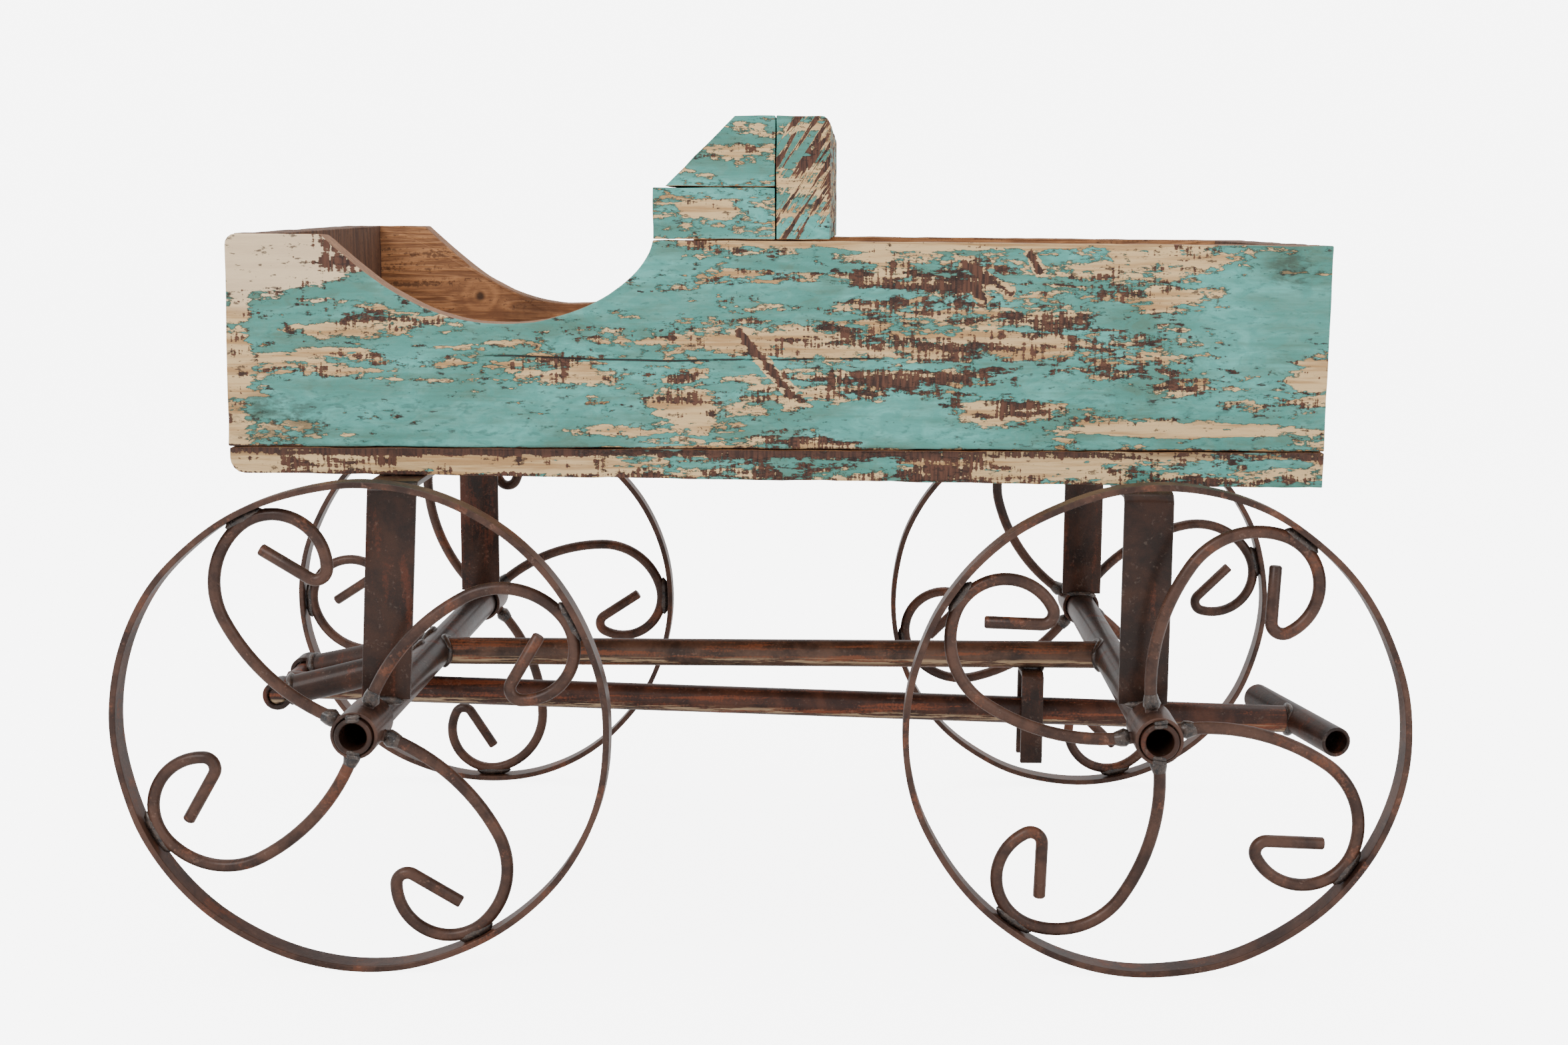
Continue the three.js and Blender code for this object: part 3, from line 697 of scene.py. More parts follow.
def new_tree(name, *sizes):
    """A modifier tree with geometry in and out, and an input for each name in sizes."""
    tree = bpy.data.node_groups.new(name, "GeometryNodeTree")
    tree.interface.new_socket("Geometry", in_out="INPUT", socket_type="NodeSocketGeometry")
    for size in sizes:
        kind = SOCKETS.get(size, "NodeSocketFloat")
        tree.interface.new_socket(size, in_out="INPUT", socket_type=kind)
    tree.interface.new_socket("Geometry", in_out="OUTPUT", socket_type="NodeSocketGeometry")
    g = Graph(tree)
    return tree, g, g.node("NodeGroupInput")


def close_tree(g, geometry, material):
    """Ends a tree: smooth, real mesh with its material."""
    rounded = g.node("GeometryNodeSetShadeSmooth", {}, {"Geometry": geometry})
    real = g.node("GeometryNodeRealizeInstances", {}, {"Geometry": rounded})
    done = g.node("GeometryNodeSetMaterial", {}, {"Geometry": real, "Material": material})
    out = g.tree.nodes.new("NodeGroupOutput")
    g.feed(out.inputs["Geometry"], done)


def grown(tree, source, **sizes):
    """Runs a tree on a mesh and returns the result as a plain mesh."""
    host = bpy.data.objects.new("host", source)
    bpy.context.scene.collection.objects.link(host)
    modifier = host.modifiers.new("grow", "NODES")
    modifier.node_group = tree
    for item in tree.interface.items_tree:
        if item.item_type == "SOCKET" and item.in_out == "INPUT" and item.name in sizes:
            modifier[item.identifier] = sizes[item.name]
    depsgraph = bpy.context.evaluated_depsgraph_get()
    mesh = bpy.data.meshes.new_from_object(host.evaluated_get(depsgraph), depsgraph=depsgraph)
    bpy.data.objects.remove(host)
    return mesh


print("tree helpers ready")

# %% [markdown]
# A path is a plain mesh of edges, with its thickness on each point. That is
# easier to write than a curve, and Mesh to Curve turns it into one inside the
# tree. The beads are pushed about by noise along their normals.

# %% The weld bead tree
def paths(lines):
    """A mesh of edges from lists of (point, radius); a line whose ends meet is closed."""
    vertices, edges, radii = [], [], []
    for line in lines:
        first = len(vertices)
        closed = (line[0][0] - line[-1][0]).length < 1e-7
        if closed:
            line = line[:-1]
        for point, radius in line:
            vertices.append(point)
            radii.append(radius)
        edges += [(i, i + 1) for i in range(first, len(vertices) - 1)]
        if closed:
            edges.append((len(vertices) - 1, first))
    mesh = bpy.data.meshes.new("paths")
    mesh.from_pydata(vertices, edges, [])
    thick = mesh.attributes.new("thick", "FLOAT", "POINT")
    for value, radius in zip(thick.data, radii):
        value.value = radius
    return mesh


def swept(g, geometry, sides):
    """Sweeps a circle along every edge path, as thick as its points say."""
    line = g.node("GeometryNodeMeshToCurve", {}, {"Mesh": geometry})
    ring = g.node("GeometryNodeCurvePrimitiveCircle", {}, {"Resolution": sides, "Radius": 1.0})
    thick = g.node("GeometryNodeInputNamedAttribute", {"data_type": "FLOAT"}, {"Name": "thick"})
    return g.node("GeometryNodeCurveToMesh", {}, {
        "Curve": line, "Profile Curve": ring, "Scale": thick, "Fill Caps": True})


bead_tree, g, given = new_tree("weld_beads", "Sides", "Lump", "Waves", "Material")
skin = swept(g, given.part("Geometry"), given.part("Sides"))
lumps = g.node("ShaderNodeTexNoise", {}, {"Scale": given.part("Waves"), "Detail": 3.0})
push = g.node("ShaderNodeVectorMath", {"operation": "SCALE"}, {
    0: g.node("GeometryNodeInputNormal"), "Scale": (lumps - 0.5) * given.part("Lump")})
skin = g.node("GeometryNodeSetPosition", {}, {"Geometry": skin, "Offset": push})
close_tree(g, skin, given.part("Material"))

print("bead tree", len(bead_tree.nodes), "nodes")

# %% [markdown]
# The four scrolls of a wheel are one rod set on four points that all lie at the
# hub, and each copy is turned a quarter further plus its own small stray. The
# rim could be a torus, but a real rim is a flat strip, so its section is swept.

# %% The scroll and rim trees
scroll_tree, g, given = new_tree("scroll_set", "Count", "Sides", "Stray", "Seed", "Material")
rod = swept(g, given.part("Geometry"), given.part("Sides"))
spots = g.node("GeometryNodeMeshLine", {"mode": "OFFSET"}, {
    "Count": given.part("Count"), "Offset": (0, 0, 0)})
number = g.node("GeometryNodeInputIndex")
stray = g.node("FunctionNodeRandomValue", {"data_type": "FLOAT"}, {
    2: -1.0, 3: 1.0, "ID": number, "Seed": given.part("Seed")}, 1) * given.part("Stray")
turn = g.node("FunctionNodeAxisAngleToRotation", {}, {
    "Axis": (0, -1, 0), "Angle": number * (2 * math.pi) / given.part("Count") + stray})
around = g.node("GeometryNodeInstanceOnPoints", {}, {
    "Points": spots, "Instance": rod, "Rotation": turn})
close_tree(g, around, given.part("Material"))

rim_tree, g, given = new_tree("strip_rim", "Radius", "Press", "Sides", "Material")
ring = g.node("GeometryNodeCurvePrimitiveCircle", {}, {
    "Resolution": given.part("Sides"), "Radius": given.part("Radius")})
bend = g.node("ShaderNodeTexNoise", {}, {"Scale": 9.0, "Detail": 1.0})
pressed = g.step(bend, 0.45, 0.75) * (0 - given.part("Press"))
inward = g.node("ShaderNodeVectorMath", {"operation": "SCALE"}, {
    0: g.node("GeometryNodeInputPosition"), "Scale": pressed})
ring = g.node("GeometryNodeSetPosition", {}, {"Geometry": ring, "Offset": inward})
strip = g.node("GeometryNodeMeshToCurve", {}, {"Mesh": given.part("Geometry")})
band_skin = g.node("GeometryNodeCurveToMesh", {}, {
    "Curve": ring, "Profile Curve": strip, "Scale": 1.0})
upright = g.node("GeometryNodeTransform", {}, {
    "Geometry": band_skin, "Rotation": (math.pi / 2, 0, 0)})
close_tree(g, upright, given.part("Material"))
print("trees:", [tree.name for tree in bpy.data.node_groups])

# %% [markdown]
# A wheel is a flat strip bent to a hoop, a short tube for a hub, and four rods
# that leave the hub, swell outwards and curl back on themselves, welded where
# they touch the rim. The scroll is a row of arcs that tighten, so its path is
# walked arc by arc.

# %% Wheel paths
ROD = 6.35 * MM
HUB_RADIUS, HUB_BORE = 12 * MM, 20 * MM
SCROLL_ROOT, SCROLL_TAIL, ROD_CHAMFER = 6.4 * MM, 27.6 * MM, 0.7 * MM
SCROLL_ARCS = [(106, 39, 14), (39.6, 74.4, 18), (26.5, 134.2, 26), (5.9, 119.4, 14)]
RIM_WIDTH, RIM_THICKNESS = 12.7 * MM, 3.2 * MM


def scroll_path():
    """The middle line of a scroll that leaves the hub along +X, with its rod's radius.

    SCROLL_ARCS lists each arc's radius in mm, its bend in degrees and its steps.
    """
    heading = math.radians(-6)
    here = Vector((HUB_RADIUS - 0.8 * MM, 0, 0))
    line = [(here.copy(), ROD / 2)]

    def advance(length):
        here.x += math.cos(heading) * length
        here.z += math.sin(heading) * length
        line.append((here.copy(), ROD / 2))

    advance(SCROLL_ROOT)
    for radius, bend, steps in SCROLL_ARCS:
        step = math.radians(bend) / steps
        for _ in range(steps):
            heading -= step / 2
            advance(2 * radius * MM * math.sin(step / 2))
            heading -= step / 2
    advance(SCROLL_TAIL)
    advance(ROD_CHAMFER)
    line[-1] = (line[-1][0], ROD / 2 - 0.6 * MM)
    return line


def strip_section():
    """The rim strip's section: a flat bar with eased edges and a point close by each corner."""
    half_x, half_y, ease = RIM_THICKNESS / 2, RIM_WIDTH / 2, 0.5 * MM
    corner = []
    for step in range(4):
        angle = math.pi / 2 * step / 3
        corner.append((half_x - ease + ease * math.cos(angle),
                       half_y - ease + ease * math.sin(angle)))
    quarter = [(half_x, half_y - 2 * ease)] + corner + [(half_x - 2 * ease, half_y)]
    loop = quarter + [(-x, y) for x, y in reversed(quarter)]
    loop += [(-x, -y) for x, y in quarter] + [(x, -y) for x, y in reversed(quarter)]
    points = [(Vector((x, y, 0)), 1.0) for x, y in loop]
    return paths([points + [points[0]]])


print("scroll path", len(scroll_path()), "points")

# %% [markdown]
# A weld bead is a short swollen line, or a closed ring round a tube's end. Its
# girth changes along it, since a hand-held torch never lays it evenly.

# %% Bead lines
def blob(spot, run, radius, ends=0.45):
    """A weld bead's line: a swelling stretch of run about spot."""
    shares = [(-1, 0.15), (-0.82, ends + 0.2), (-0.5, 0.9), (0, 1.0),
              (0.5, 0.95), (0.82, ends + 0.25), (1, 0.15)]
    return [(spot + run * share, radius * girth) for share, girth in shares]


def ring_bead(centre, axis, ring_radius, radius, seed):
    """A bead all the way round a tube's end."""
    turn = axis.to_track_quat("Z", "Y").to_matrix()
    line = []
    for step in range(24):
        angle = 2 * math.pi * step / 24
        swell = 1 + 0.3 * uneven(angle, 2, seed)
        spot = Vector((math.cos(angle), math.sin(angle), 0)) * ring_radius
        line.append((centre + turn @ spot, radius * swell))
    return line + [line[0]]


def beads_of(lines, lump, waves):
    """The lumpy skin of a list of bead lines."""
    return grown(bead_tree, paths(lines), Sides=14, Lump=lump, Waves=waves, Material=weld_steel)


print("a bead has", len(blob(Vector(), UP, 1.0)), "points")

# %% [markdown]
# The wheels are built upright at the origin, scroll along +X, then turned to
# their own angle and set on their axle. The axles run a little off square, because
# the chassis was welded by eye. Where a scroll touches the rim is the point of
# its path that lies furthest from the hub.

# %% Wheels
AXLE_SKEW = math.radians(-1.4)
AXIS = Vector((-math.sin(AXLE_SKEW), math.cos(AXLE_SKEW), 0))
WHEEL_TURNS = {"wheel_front_near": -17, "wheel_front_far": -43.5,
               "wheel_rear_near": 10.5, "wheel_rear_far": -31}
QUARTERS = [Matrix.Rotation(-math.pi / 2 * step, 4, "Y") for step in range(4)]
scroll = scroll_path()
root = scroll[1][0]
touch = max((point for point, _ in scroll), key=lambda point: point.length)
outward = touch.normalized()
along = Vector((outward.z, 0, -outward.x))


def wheel_beads(seed):
    """Two beads for each scroll: a long one on the rim and a fat one on the hub."""
    at_hub = [(root - Vector((4.6, 0, 0)) * MM, 3.4 * MM),
              (root - Vector((2.5, 0, 0)) * MM, 4.6 * MM),
              (root, 4.1 * MM), (root + Vector((3, 0, -0.3)) * MM, 3.3 * MM)]
    lines = []
    for step, quarter in enumerate(QUARTERS):
        stretch = (0.9 + 0.25 * noise.noise(Vector((seed, step, 0.3)))) * 12 * MM
        at_rim = blob(touch + outward * 1.6 * MM, along * stretch, 3.4 * MM)
        for line in (at_rim, at_hub):
            lines.append([(quarter @ point, radius) for point, radius in line])
    return beads_of(lines, 1.7 * MM, 240.0)


def wheel(name, seed):
    """A wheel: hoop, scrolls, hub and beads. seed gives it its own small faults."""
    lowest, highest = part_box(f"{name}_rim")
    radius = (highest.z - lowest.z) / 2 - RIM_THICKNESS / 2 - 0.05 * MM
    place = Matrix.Translation(middle(f"{name}_rim")) @ Matrix.Rotation(AXLE_SKEW, 4, "Z")
    turned_place = place @ Matrix.Rotation(-math.radians(WHEEL_TURNS[name]), 4, "Y")

    rim = grown(rim_tree, strip_section(), Radius=radius, Press=0.016, Sides=200,
                Material=wheel_steel)
    rim.transform(place @ Matrix.Rotation(math.radians(40 * seed), 4, "Y"))
    scrolls = grown(scroll_tree, paths([scroll]), Count=4, Sides=20, Stray=math.radians(1.1),
                    Seed=seed, Material=wheel_steel)
    scrolls.transform(turned_place)
    welds = wheel_beads(seed)
    welds.transform(turned_place)

    hub_lo, hub_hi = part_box(f"{name}_hub")
    half = (hub_hi.y - hub_lo.y) / 2 - 0.3 * MM
    hub_mid = (hub_lo + hub_hi) / 2
    hub = tube(hub_mid - AXIS * half, hub_mid + AXIS * half, 2 * HUB_RADIUS, HUB_BORE,
               ring_step=3 * MM)

    reach = along * 9 * MM
    hot = [turned_place @ quarter @ spot
           for quarter in QUARTERS for spot in (touch, root, touch + reach, touch - reach)]
    keep(f"{name}_hoop", heated(rim, hot), name, "wheel_steel", stands_for=[f"{name}_rim"])
    keep(f"{name}_scroll_set", heated(scrolls, hot), name, "wheel_steel",
         stands_for=[f"{name}_scroll_{number}" for number in (1, 2, 3, 4)])
    keep(f"{name}_hub_tube", heated(hub, hot), name, "wheel_steel", wheel_steel,
         stands_for=[f"{name}_hub"])
    keep(f"{name}_weld_beads", welds, name, "wheel_steel")
    return sum(len(mesh.polygons) for mesh in (rim, scrolls, hub, welds))


for seed, name in enumerate(WHEEL_TURNS, 1):
    print(name, wheel(name, seed), "faces")

# %% [markdown]
# The chassis is two axle tubes joined by a spine. Two arms splay from the front
# axle down to the knuckles that hold the pull bar's pin. Each joint is covered
# by a lumpy ring of weld, so the tubes can simply run into one another under it.

# %% Axles
AXLE_RADIUS, AXLE_BORE = 9.5 * MM, 14 * MM
HUB_REACH, POST_REACH = 187 * MM, 146 * MM
chassis_beads = []
axle_mids = {}
for end in ("front", "rear"):
    lowest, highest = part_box(f"axle_{end}")
    axle_mid = (lowest + highest) / 2
    axle_mids[end] = axle_mid
    half = (highest.y - lowest.y) / 2 - 0.4 * MM
    mesh = tube(axle_mid - AXIS * half, axle_mid + AXIS * half, 2 * AXLE_RADIUS, AXLE_BORE)
    hot = [axle_mid + AXIS * side * reach
           for side in (-1, 1) for reach in (HUB_REACH, POST_REACH, 0)]
    keep(f"axle_{end}_tube", heated(mesh, hot, 14 * MM), "chassis", "frame_steel", frame_steel,
         stands_for=[f"axle_{end}"])
    for side in (-1, 1):
        for up in (-1, 1):
            for drop in (8.2 * MM, 10.0 * MM):
                tab = axle_mid + AXIS * side * (half - 0.8 * MM) + Vector((0, 0, up * drop))
                tilt = Vector((3.6, 0, up * 0.4)) * MM
                chassis_beads.append(blob(tab, tilt, 1.25 * MM, 0.8))
print("axles at", [tuple(round(v, 4) for v in spot) for spot in axle_mids.values()])

# %% [markdown]
# The spine runs between the axles, so its welds lie on the axles' round flanks.
# A saddle bead follows that round: it is the ring of the tube's end, moved out
# to where the axle's surface is at each height.

# %% Spine
SLIM_TUBE = (16 * MM, 12.6 * MM)
spine_y = middle("spine_tube").y
spine_from = Vector((axle_mids["front"].x + 7.4 * MM, spine_y, AXLE_Z))
spine_to = Vector((axle_mids["rear"].x - 7.4 * MM, spine_y, AXLE_Z))
mesh = tube(spine_from, spine_to, *SLIM_TUBE)
hot = [spine_from, spine_to, middle("stirrup") + Vector((0, 0, 28 * MM))]
keep("spine", heated(mesh, hot, 13 * MM), "chassis", "frame_steel", spine_steel,
     stands_for=["spine_tube"])


def saddle(tip, away, tube_radius, radius):
    """A bead where a tube that leaves along away (+1 or -1 on X) meets an axle at tip."""
    line = []
    for step in range(24):
        angle = 2 * math.pi * step / 24
        sideways, up = tube_radius * math.cos(angle), tube_radius * math.sin(angle)
        out = math.sqrt(AXLE_RADIUS ** 2 - min(up * up, 0.72 * AXLE_RADIUS ** 2))
        swell = 1 + 0.35 * uneven(angle, 2, tip.x * 50)
        line.append((tip + Vector((away * out, sideways, up)), radius * swell))
    return line + [line[0]]


for end, away in (("front", 1), ("rear", -1)):
    spine_end = Vector((axle_mids[end].x, spine_y, AXLE_Z))
    chassis_beads.append(saddle(spine_end, away, 8 * MM, 2.1 * MM))
print("spine", round((spine_to - spine_from).length, 4), "m long")

# %% [markdown]
# The arms are of a stouter tube. They are not alike: the far one splays more,
# and the bar hangs between them. Each ends in a short ragged ring that was cut
# from the same tube and turned across it to take the pin.

# %% Hitch
STOUT_TUBE = (17.1 * MM, 13.1 * MM)
KNUCKLE = (17.1 * MM, 11.5 * MM)
FRONT_AXLE_X = -200 * MM
HINGE = Vector((HINGE_X, 8 * MM, HINGE_Z))
for side, root_y, tip_y in (("near", -10.5 * MM, -13.5 * MM), ("far", 27 * MM, 44 * MM)):
    arm_root = Vector((FRONT_AXLE_X, root_y, AXLE_Z))
    tip = Vector((HINGE.x, tip_y, HINGE.z))
    run = (tip - arm_root).normalized()
    arm_from, arm_to = arm_root + run * 7.2 * MM, tip - run * 5 * MM
    mesh = tube(arm_from, arm_to, *STOUT_TUBE)
    keep(f"arm_{side}", heated(mesh, [arm_from, arm_to], 20 * MM), "chassis", "frame_steel",
         frame_steel, stands_for=[f"hitch_arm_{side}"])
    chassis_beads.append(saddle(arm_root, -1, 8.4 * MM, 2.3 * MM))
    chassis_beads.append(ring_bead(tip - run * 8.6 * MM, run, 8.1 * MM, 1.9 * MM, arm_root.y * 100))
    lowest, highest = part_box(f"knuckle_{side}")
    mesh = tube(Vector((HINGE.x, lowest.y, HINGE.z)), Vector((HINGE.x, highest.y, HINGE.z)),
                *KNUCKLE, ring_step=2.5 * MM, ragged=0.5 * MM)
    keep(f"knuckle_{side}_ring", heated(mesh, [tip], 14 * MM), "chassis", "frame_steel",
         frame_steel, stands_for=[f"knuckle_{side}"])
print("hitch and", len(chassis_beads), "beads so far")

# %% [markdown]
# Flat bar makes the stirrup and the posts. The CAD solids have the right bends,
# so each is copied and its edges are eased. The posts are welded to the axles
# all round their feet.

# %% Flat bar
POST_WIDTH, POST_FACE_Y = 25 * MM, 149.4 * MM
for end in ("front", "rear"):
    for side, sign in (("near", -1), ("far", 1)):
        node = f"post_{end}_{side}"
        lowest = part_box(node)[0]
        foot = Vector((lowest.x + POST_WIDTH / 2, sign * POST_FACE_Y, lowest.z))
        hot = [foot + Vector((shift * MM, 0, 0)) for shift in (-11, -4, 4, 11)]
        keep(f"{node}_bar", heated(eased(node, 0.45 * MM), hot, 16 * MM), "chassis", "frame_steel",
             frame_steel, stands_for=[node])
        for out in (-1, 1):
            spot = foot + Vector((0, out * 1.8, -0.4)) * MM
            chassis_beads.append(blob(spot, Vector((9.5, 0, -0.6)) * MM, 2.2 * MM))

crown = Vector((middle("stirrup").x, spine_y, AXLE_Z - 8.2 * MM))
keep("stirrup_bar", heated(eased("stirrup", 0.4 * MM), [crown], 16 * MM), "chassis", "frame_steel",
     frame_steel, stands_for=["stirrup"])
for out in (-1, 1):
    spot = crown + Vector((out * 6, 0, 0.3)) * MM
    chassis_beads.append(blob(spot, Vector((0, 5.5 * MM, 0)), 1.9 * MM))

mesh = beads_of(chassis_beads, 1.5 * MM, 260.0)
keep("chassis_weld_beads", mesh, "chassis", "frame_steel")
for node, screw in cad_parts.items():
    if node.startswith("screw_"):
        for slot in screw.material_slots:
            slot.material = screw_zinc
print("flat bar, screws and", len(mesh.polygons), "bead faces")

# %% [markdown]
# The pull bar is hinged on a pin through the knuckles, runs back under the
# spine with a slight droop, and ends in a short cross tube for a grip. It is a
# body of its own, so its welds are too.

# %% Pull bar
GRIP_SKEW = math.radians(11.5)
GRIP_HALF = 54 * MM
PIN_DIAMETER = 10.5 * MM
bar_tip = Vector((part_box("pull_bar")[1].x - 1 * MM, HINGE.y, 0))
bar_tip.z = HINGE_Z + (bar_tip.x - HINGE.x) * BAR_SLOPE
bar_run = (bar_tip - HINGE).normalized()
mesh = tube(HINGE - bar_run * 1 * MM, bar_tip, *SLIM_TUBE)
keep("bar_tube", heated(mesh, [bar_tip], 18 * MM), "pull_bar", "bar_steel", bar_steel,
     stands_for=["pull_bar"])

grip_mid = middle("pull_bar_grip")
grip_arm = Vector((-math.sin(GRIP_SKEW), math.cos(GRIP_SKEW), 0)) * GRIP_HALF
mesh = tube(grip_mid - grip_arm, grip_mid + grip_arm, *STOUT_TUBE, ragged=0.6 * MM)
keep("grip_tube", heated(mesh, [bar_tip], 20 * MM), "pull_bar", "bar_steel", frame_steel,
     stands_for=["pull_bar_grip"])

pin_lo, pin_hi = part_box("pull_bar_pin")
mesh = pin(Vector((HINGE.x, pin_lo.y, HINGE.z)), Vector((HINGE.x, pin_hi.y, HINGE.z)), PIN_DIAMETER)
keep("hinge_pin", heated(mesh, []), "pull_bar", "bar_steel", bar_steel, stands_for=["pull_bar_pin"])

bead = ring_bead(bar_tip - bar_run * 0.6 * MM, bar_run, 7.7 * MM, 2.3 * MM, 5.5)
keep("bar_weld_beads", beads_of([bead], 1.8 * MM, 260.0), "pull_bar", "bar_steel")
print("pull bar", round((bar_tip - HINGE).length, 3), "m long")

# %% [markdown]
# The boards are reclaimed, so their edges are soft and bitten. Each is an
# outline pushed through its thickness, bevelled, then nibbled inwards by noise.
# A subdivided cube would do for a plain board, but not for the scooped sides.

# %% Board tools
BOX_WIDTH = 256 * MM


def walked(outline, step=7 * MM):
    """The outline with no side longer than step."""
    points = []
    for here, there in zip(outline, outline[1:] + outline[:1]):
        here, there = Vector(here), Vector(there)
        count = max(1, round((there - here).length / step))
        points += [here.lerp(there, i / count) for i in range(count)]
    return points


def slab(outline, low, high, axis, ease, wear, layers=1, seed=0):
    """A board: an outline in XZ pushed along Y, or in YZ pushed along X.

    ease is how far its edges are rounded, and wear how deep they are nibbled.
    """
    points = walked(outline)
    count = len(points)
    vertices = []
    for layer in range(layers + 1):
        through = low + (high - low) * layer / layers
        vertices += [(p.x, through, p.y) if axis == "Y" else (through, p.x, p.y) for p in points]
    faces = [tuple(range(count)), tuple(range(layers * count, (layers + 1) * count))]
    for layer in range(layers):
        here, above = layer * count, (layer + 1) * count
        faces += [(here + i, here + (i + 1) % count, above + (i + 1) % count, above + i)
                  for i in range(count)]
    mesh = bpy.data.meshes.new("slab")
    mesh.from_pydata(vertices, [], faces)
    shape = bmesh.new()
    shape.from_mesh(mesh)
    bmesh.ops.recalc_face_normals(shape, faces=shape.faces)
    sharp = [edge for edge in shape.edges if edge.calc_face_angle() > math.radians(30)]
    bmesh.ops.bevel(shape, geom=sharp, offset=ease, segments=3, affect="EDGES", profile=0.5)
    shape.normal_update()
    inward = [(vertex, vertex.normal.copy()) for vertex in shape.verts]
    for vertex, normal in inward:
        nibble = noise.fractal(vertex.co * 55 + Vector((seed, 0, 0)), 1.0, 2.0, 4)
        vertex.co -= normal * wear * max(0.0, 0.35 + nibble)
    shape.to_mesh(mesh)
    shape.free()
    for face in mesh.polygons:
        face.use_smooth = face.area < 60 * MM * MM
    return mesh


def leaned(mesh, front_run, rear_run=None):
    """Slides each point back by its share of the way from the near side to the far one.

    The box is out of square. The slide is front_run at its front end and
    rear_run at its rear, or front_run everywhere.
    """
    rear_run = front_run if rear_run is None else rear_run
    for vertex in mesh.vertices:
        share = (vertex.co.x - FRONT_X) / (REAR_X - FRONT_X)
        run = front_run + (rear_run - front_run) * share
        vertex.co.x += run * (vertex.co.y / BOX_WIDTH + 0.5)
    return mesh


def paint_where(mesh, rule):
    """Gives the second material to every face whose outward direction passes the rule."""
    for face in mesh.polygons:
        face.material_index = int(rule(face.normal))
    return mesh


def rounded(x, z, radius, start, turn=1):
    """A quarter circle about a point, from the angle start. turn -1 makes it clockwise."""
    angles = [start + turn * angle for angle in (0, 0.4, 0.8, 1.2, math.pi / 2)]
    return [(x + radius * math.cos(angle), z + radius * math.sin(angle)) for angle in angles]


def curve_points(start, first, second, end, steps=24):
    """Points on a cubic curve, without its start."""
    points = []
    for i in range(1, steps + 1):
        t = i / steps
        u = 1 - t
        points.append(tuple(u ** 3 * start[k] + 3 * u * u * t * first[k] + 3 * u * t * t * second[k]
                            + t ** 3 * end[k] for k in (0, 1)))
    return points


print("board tools ready")

# %% [markdown]
# The two sides carry the scoop, two curves that meet at its lowest point: a
# steep one up to the block and a long easy one to the front horn. Their inner
# faces are bare, their worn top edges show end grain, and only what the weather
# sees is painted.

# %% Side boards
BOX_SKEW = far_lo.x - near_lo.x
BLOCK_SKEW = 7.5 * MM
lower_lo, lower_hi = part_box("block_lower")
upright_lo, upright_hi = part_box("block_upright")
SEAT_Z = lower_lo.z - 0.3 * MM
BLOCK_FRONT = lower_lo.x
BLOCK_REAR = upright_hi.x - BLOCK_SKEW
SCOOP_DEPTH, SCOOP_FRONT, SCOOP_REAR = 42.6 * MM, 92 * MM, 77 * MM
SIDE_FALL, HORN_SETBACK = 1.4 * MM, 1.8 * MM


def side_outline(horn_top, corner=5.8 * MM):
    """The side board's edge, from the front foot by the rear and the scoop to the horn."""
    low_x, low_z = BLOCK_FRONT - SCOOP_REAR, SEAT_Z - SCOOP_DEPTH
    start_x = low_x - SCOOP_FRONT
    outline = [(FRONT_X, SEAM_Z), (REAR_X, SEAM_Z), (REAR_X, SEAT_Z - SIDE_FALL),
               (BLOCK_REAR, SEAT_Z), (BLOCK_FRONT, SEAT_Z)]
    outline += curve_points(
        (BLOCK_FRONT, SEAT_Z), (BLOCK_FRONT - 2 * MM, SEAT_Z - SCOOP_DEPTH * 0.38),
        (low_x + SCOOP_REAR * 0.57, low_z), (low_x, low_z))
    outline += curve_points(
        (low_x, low_z), (low_x - SCOOP_FRONT * 0.42, low_z),
        (start_x + SCOOP_FRONT * 0.3, horn_top - SCOOP_DEPTH * 0.6), (start_x, horn_top))
    corner_x = FRONT_X + HORN_SETBACK + corner
    return outline + rounded(corner_x, horn_top - corner, corner, math.pi / 2)


for side, sign in (("near", -1), ("far", 1)):
    node = f"box_side_{side}"
    lowest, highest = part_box(node)
    mesh = slab(side_outline(highest.z), lowest.y, highest.y, "Y", 0.9 * MM, 0.5 * MM,
                seed=sign * 3)
    mesh.transform(Matrix.Translation((lowest.x - FRONT_X, 0, 0)))
    for face in mesh.polygons:
        outer = face.normal.y * sign > 0.5 or abs(face.normal.x) > 0.9
        on_top = face.normal.z > 0.25 or abs(face.normal.y) < 0.5
        face.material_index = 1 if outer else 2 if on_top else 0
    keep(f"side_board_{side}", mesh, "chassis", "painted_wood", side_wood, side_paint, edge_wood,
         stands_for=[node])
print("side boards, scoop", round(SCOOP_DEPTH, 4), "m deep")

# %% [markdown]
# The floor board is as wide as the box and thins towards its rounded nose. A
# panel raised on it fills the box between the walls, where the wood is bare.
# The end boards stand between the sides, and the front one is the most askew.

# %% Floor and end boards
FRONT_END_SKEW = 13 * MM
END_THICKNESS = 19.5 * MM
REBATE_Z = SEAM_Z - 0.3 * MM
PANEL_INSET, PANEL_SINK = 19.8 * MM, 4 * MM
NOSE = 8 * MM
floor_lo, floor_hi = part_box("box_floor")
front_under = floor_lo.z + 5 * MM
outline = rounded(FRONT_X + NOSE, front_under + NOSE, NOSE, 1.5 * math.pi, -1)[::-1]
outline += [(REAR_X, floor_lo.z), (REAR_X, REBATE_Z), (FRONT_X, REBATE_Z)]
mesh = slab(outline, floor_lo.y, floor_hi.y, "Y", 0.8 * MM, 0.6 * MM, layers=16, seed=8)
paint_where(leaned(mesh, BOX_SKEW), lambda normal: abs(normal.y) > 0.5 or abs(normal.x) > 0.6)
keep("floor_board", mesh, "chassis", "painted_wood", side_wood, floor_paint,
     stands_for=["box_floor"])

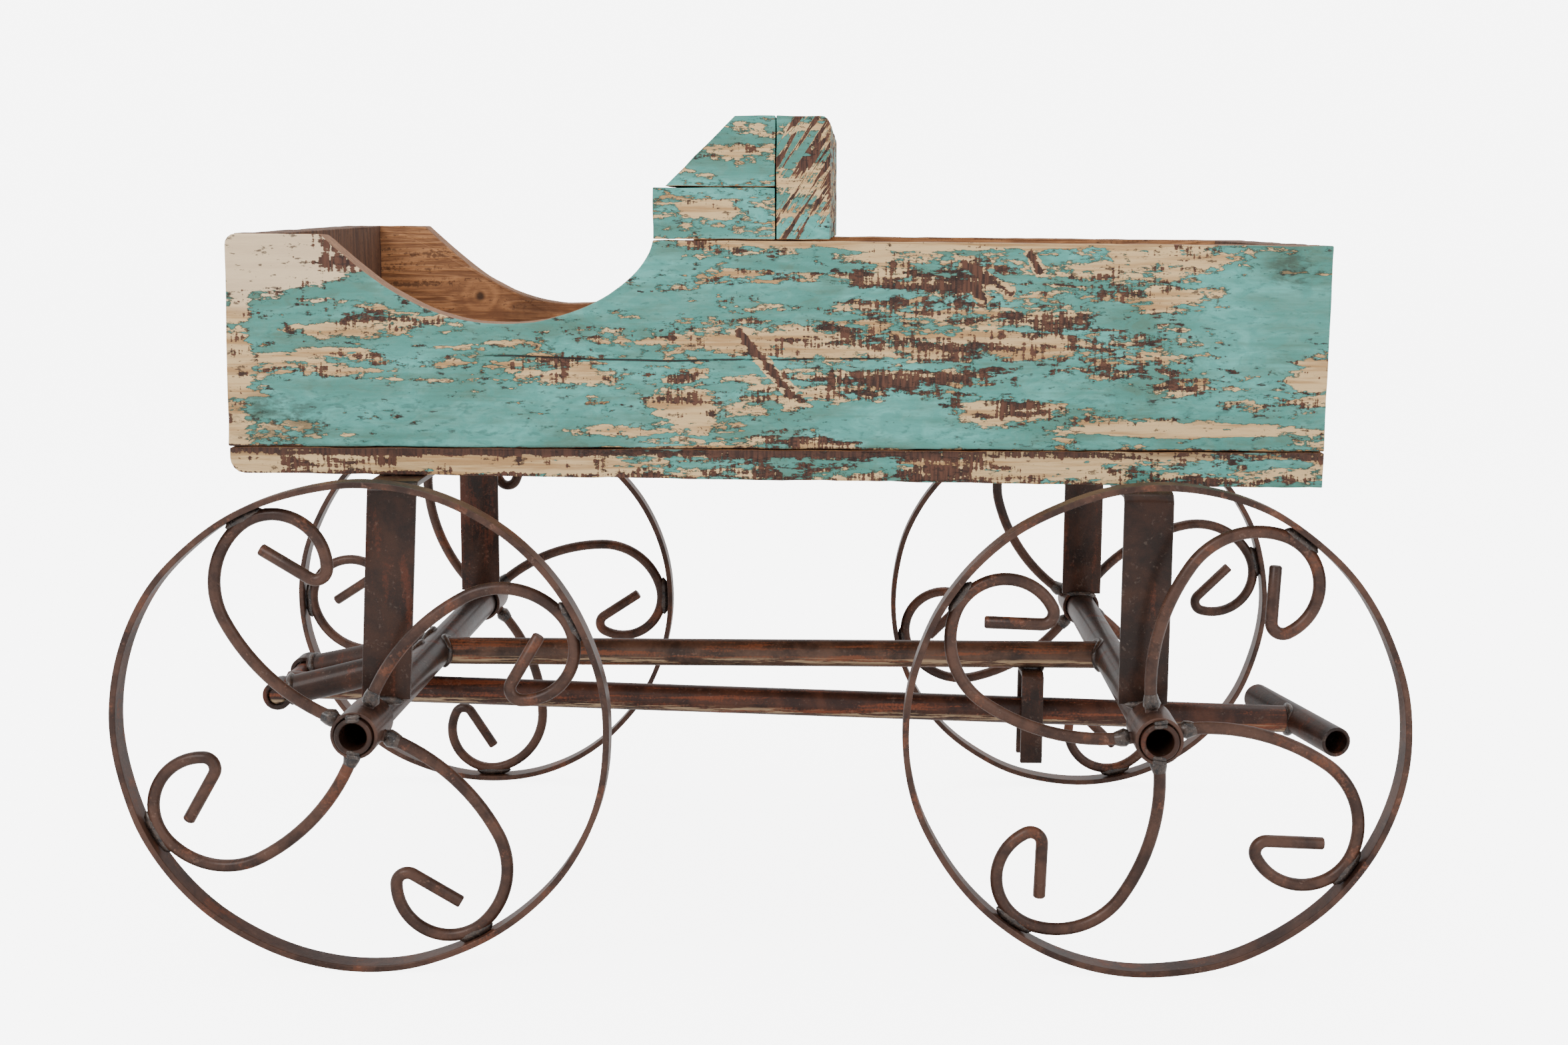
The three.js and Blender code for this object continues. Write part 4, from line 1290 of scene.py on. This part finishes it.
half = floor_hi.y - PANEL_INSET
panel_front, panel_rear = FRONT_X + PANEL_INSET, REAR_X - PANEL_INSET
outline = [(panel_front, REBATE_Z - PANEL_SINK), (panel_rear, REBATE_Z - PANEL_SINK),
           (panel_rear, floor_hi.z), (panel_front, floor_hi.z)]
mesh = slab(outline, -half, half, "Y", 0.3 * MM, 0.1 * MM, seed=9)
keep("floor_panel", leaned(mesh, FRONT_END_SKEW, BOX_SKEW), "chassis", "painted_wood", side_wood)

rear_top = SEAT_Z - SIDE_FALL
for end, facing, from_x, near_top, far_top, skew in (
        ("front", -1, FRONT_X, near_hi.z, far_hi.z, FRONT_END_SKEW),
        ("rear", 1, REAR_X - END_THICKNESS, rear_top, rear_top, BOX_SKEW)):
    node = f"box_end_{end}"
    lowest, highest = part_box(node)
    outline = [(lowest.y, lowest.z), (highest.y, lowest.z), (highest.y, far_top),
               (lowest.y, near_top)]
    mesh = slab(outline, from_x, from_x + END_THICKNESS, "X", 0.8 * MM, 0.4 * MM, seed=11)
    paint_where(leaned(mesh, skew), lambda normal: normal.x * facing > 0.5)
    keep(f"end_board_{end}", mesh, "chassis", "bare_wood", end_wood, side_paint, stands_for=[node])
print("floor and end boards")

# %% [markdown]
# The block across the top is three offcuts. The lower and upper ones are
# stacked, and the third stands behind them, so its sawn face shows the blade's
# slanting marks through the paint.

# %% Block
BLOCK_SLOPE, BLOCK_CORNER = 35.5 * MM, 5 * MM
upper_lo, upper_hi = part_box("block_upper")
split_x = lower_hi.x - BLOCK_SKEW
upper_outline = [(upper_lo.x, upper_lo.z), (split_x, upper_lo.z), (split_x, upper_hi.z),
                 (upper_lo.x + BLOCK_SLOPE, upper_hi.z)]
lower_outline = [(lower_lo.x, lower_lo.z), (split_x, lower_lo.z), (split_x, lower_hi.z),
                 (lower_lo.x, lower_hi.z)]
upright_outline = [(upright_lo.x, upright_lo.z), (BLOCK_REAR, upright_lo.z)]
upright_outline += rounded(BLOCK_REAR - BLOCK_CORNER, upright_hi.z - BLOCK_CORNER, BLOCK_CORNER, 0)
upright_outline += [(upright_lo.x, upright_hi.z)]
for name, outline, material in (("block_lower", lower_outline, block_paint),
                                ("block_upper", upper_outline, block_paint),
                                ("block_upright", upright_outline, upright_paint)):
    lowest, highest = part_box(name)
    mesh = slab(outline, lowest.y, highest.y, "Y", 0.7 * MM, 0.5 * MM, layers=14,
                seed=highest.x * 99)
    paint_where(leaned(mesh, BLOCK_SKEW), lambda normal: normal.z > -0.5)
    keep(f"{name}_board", mesh, "chassis", "block_wood", side_wood, material, stands_for=[name])
print("block boards")
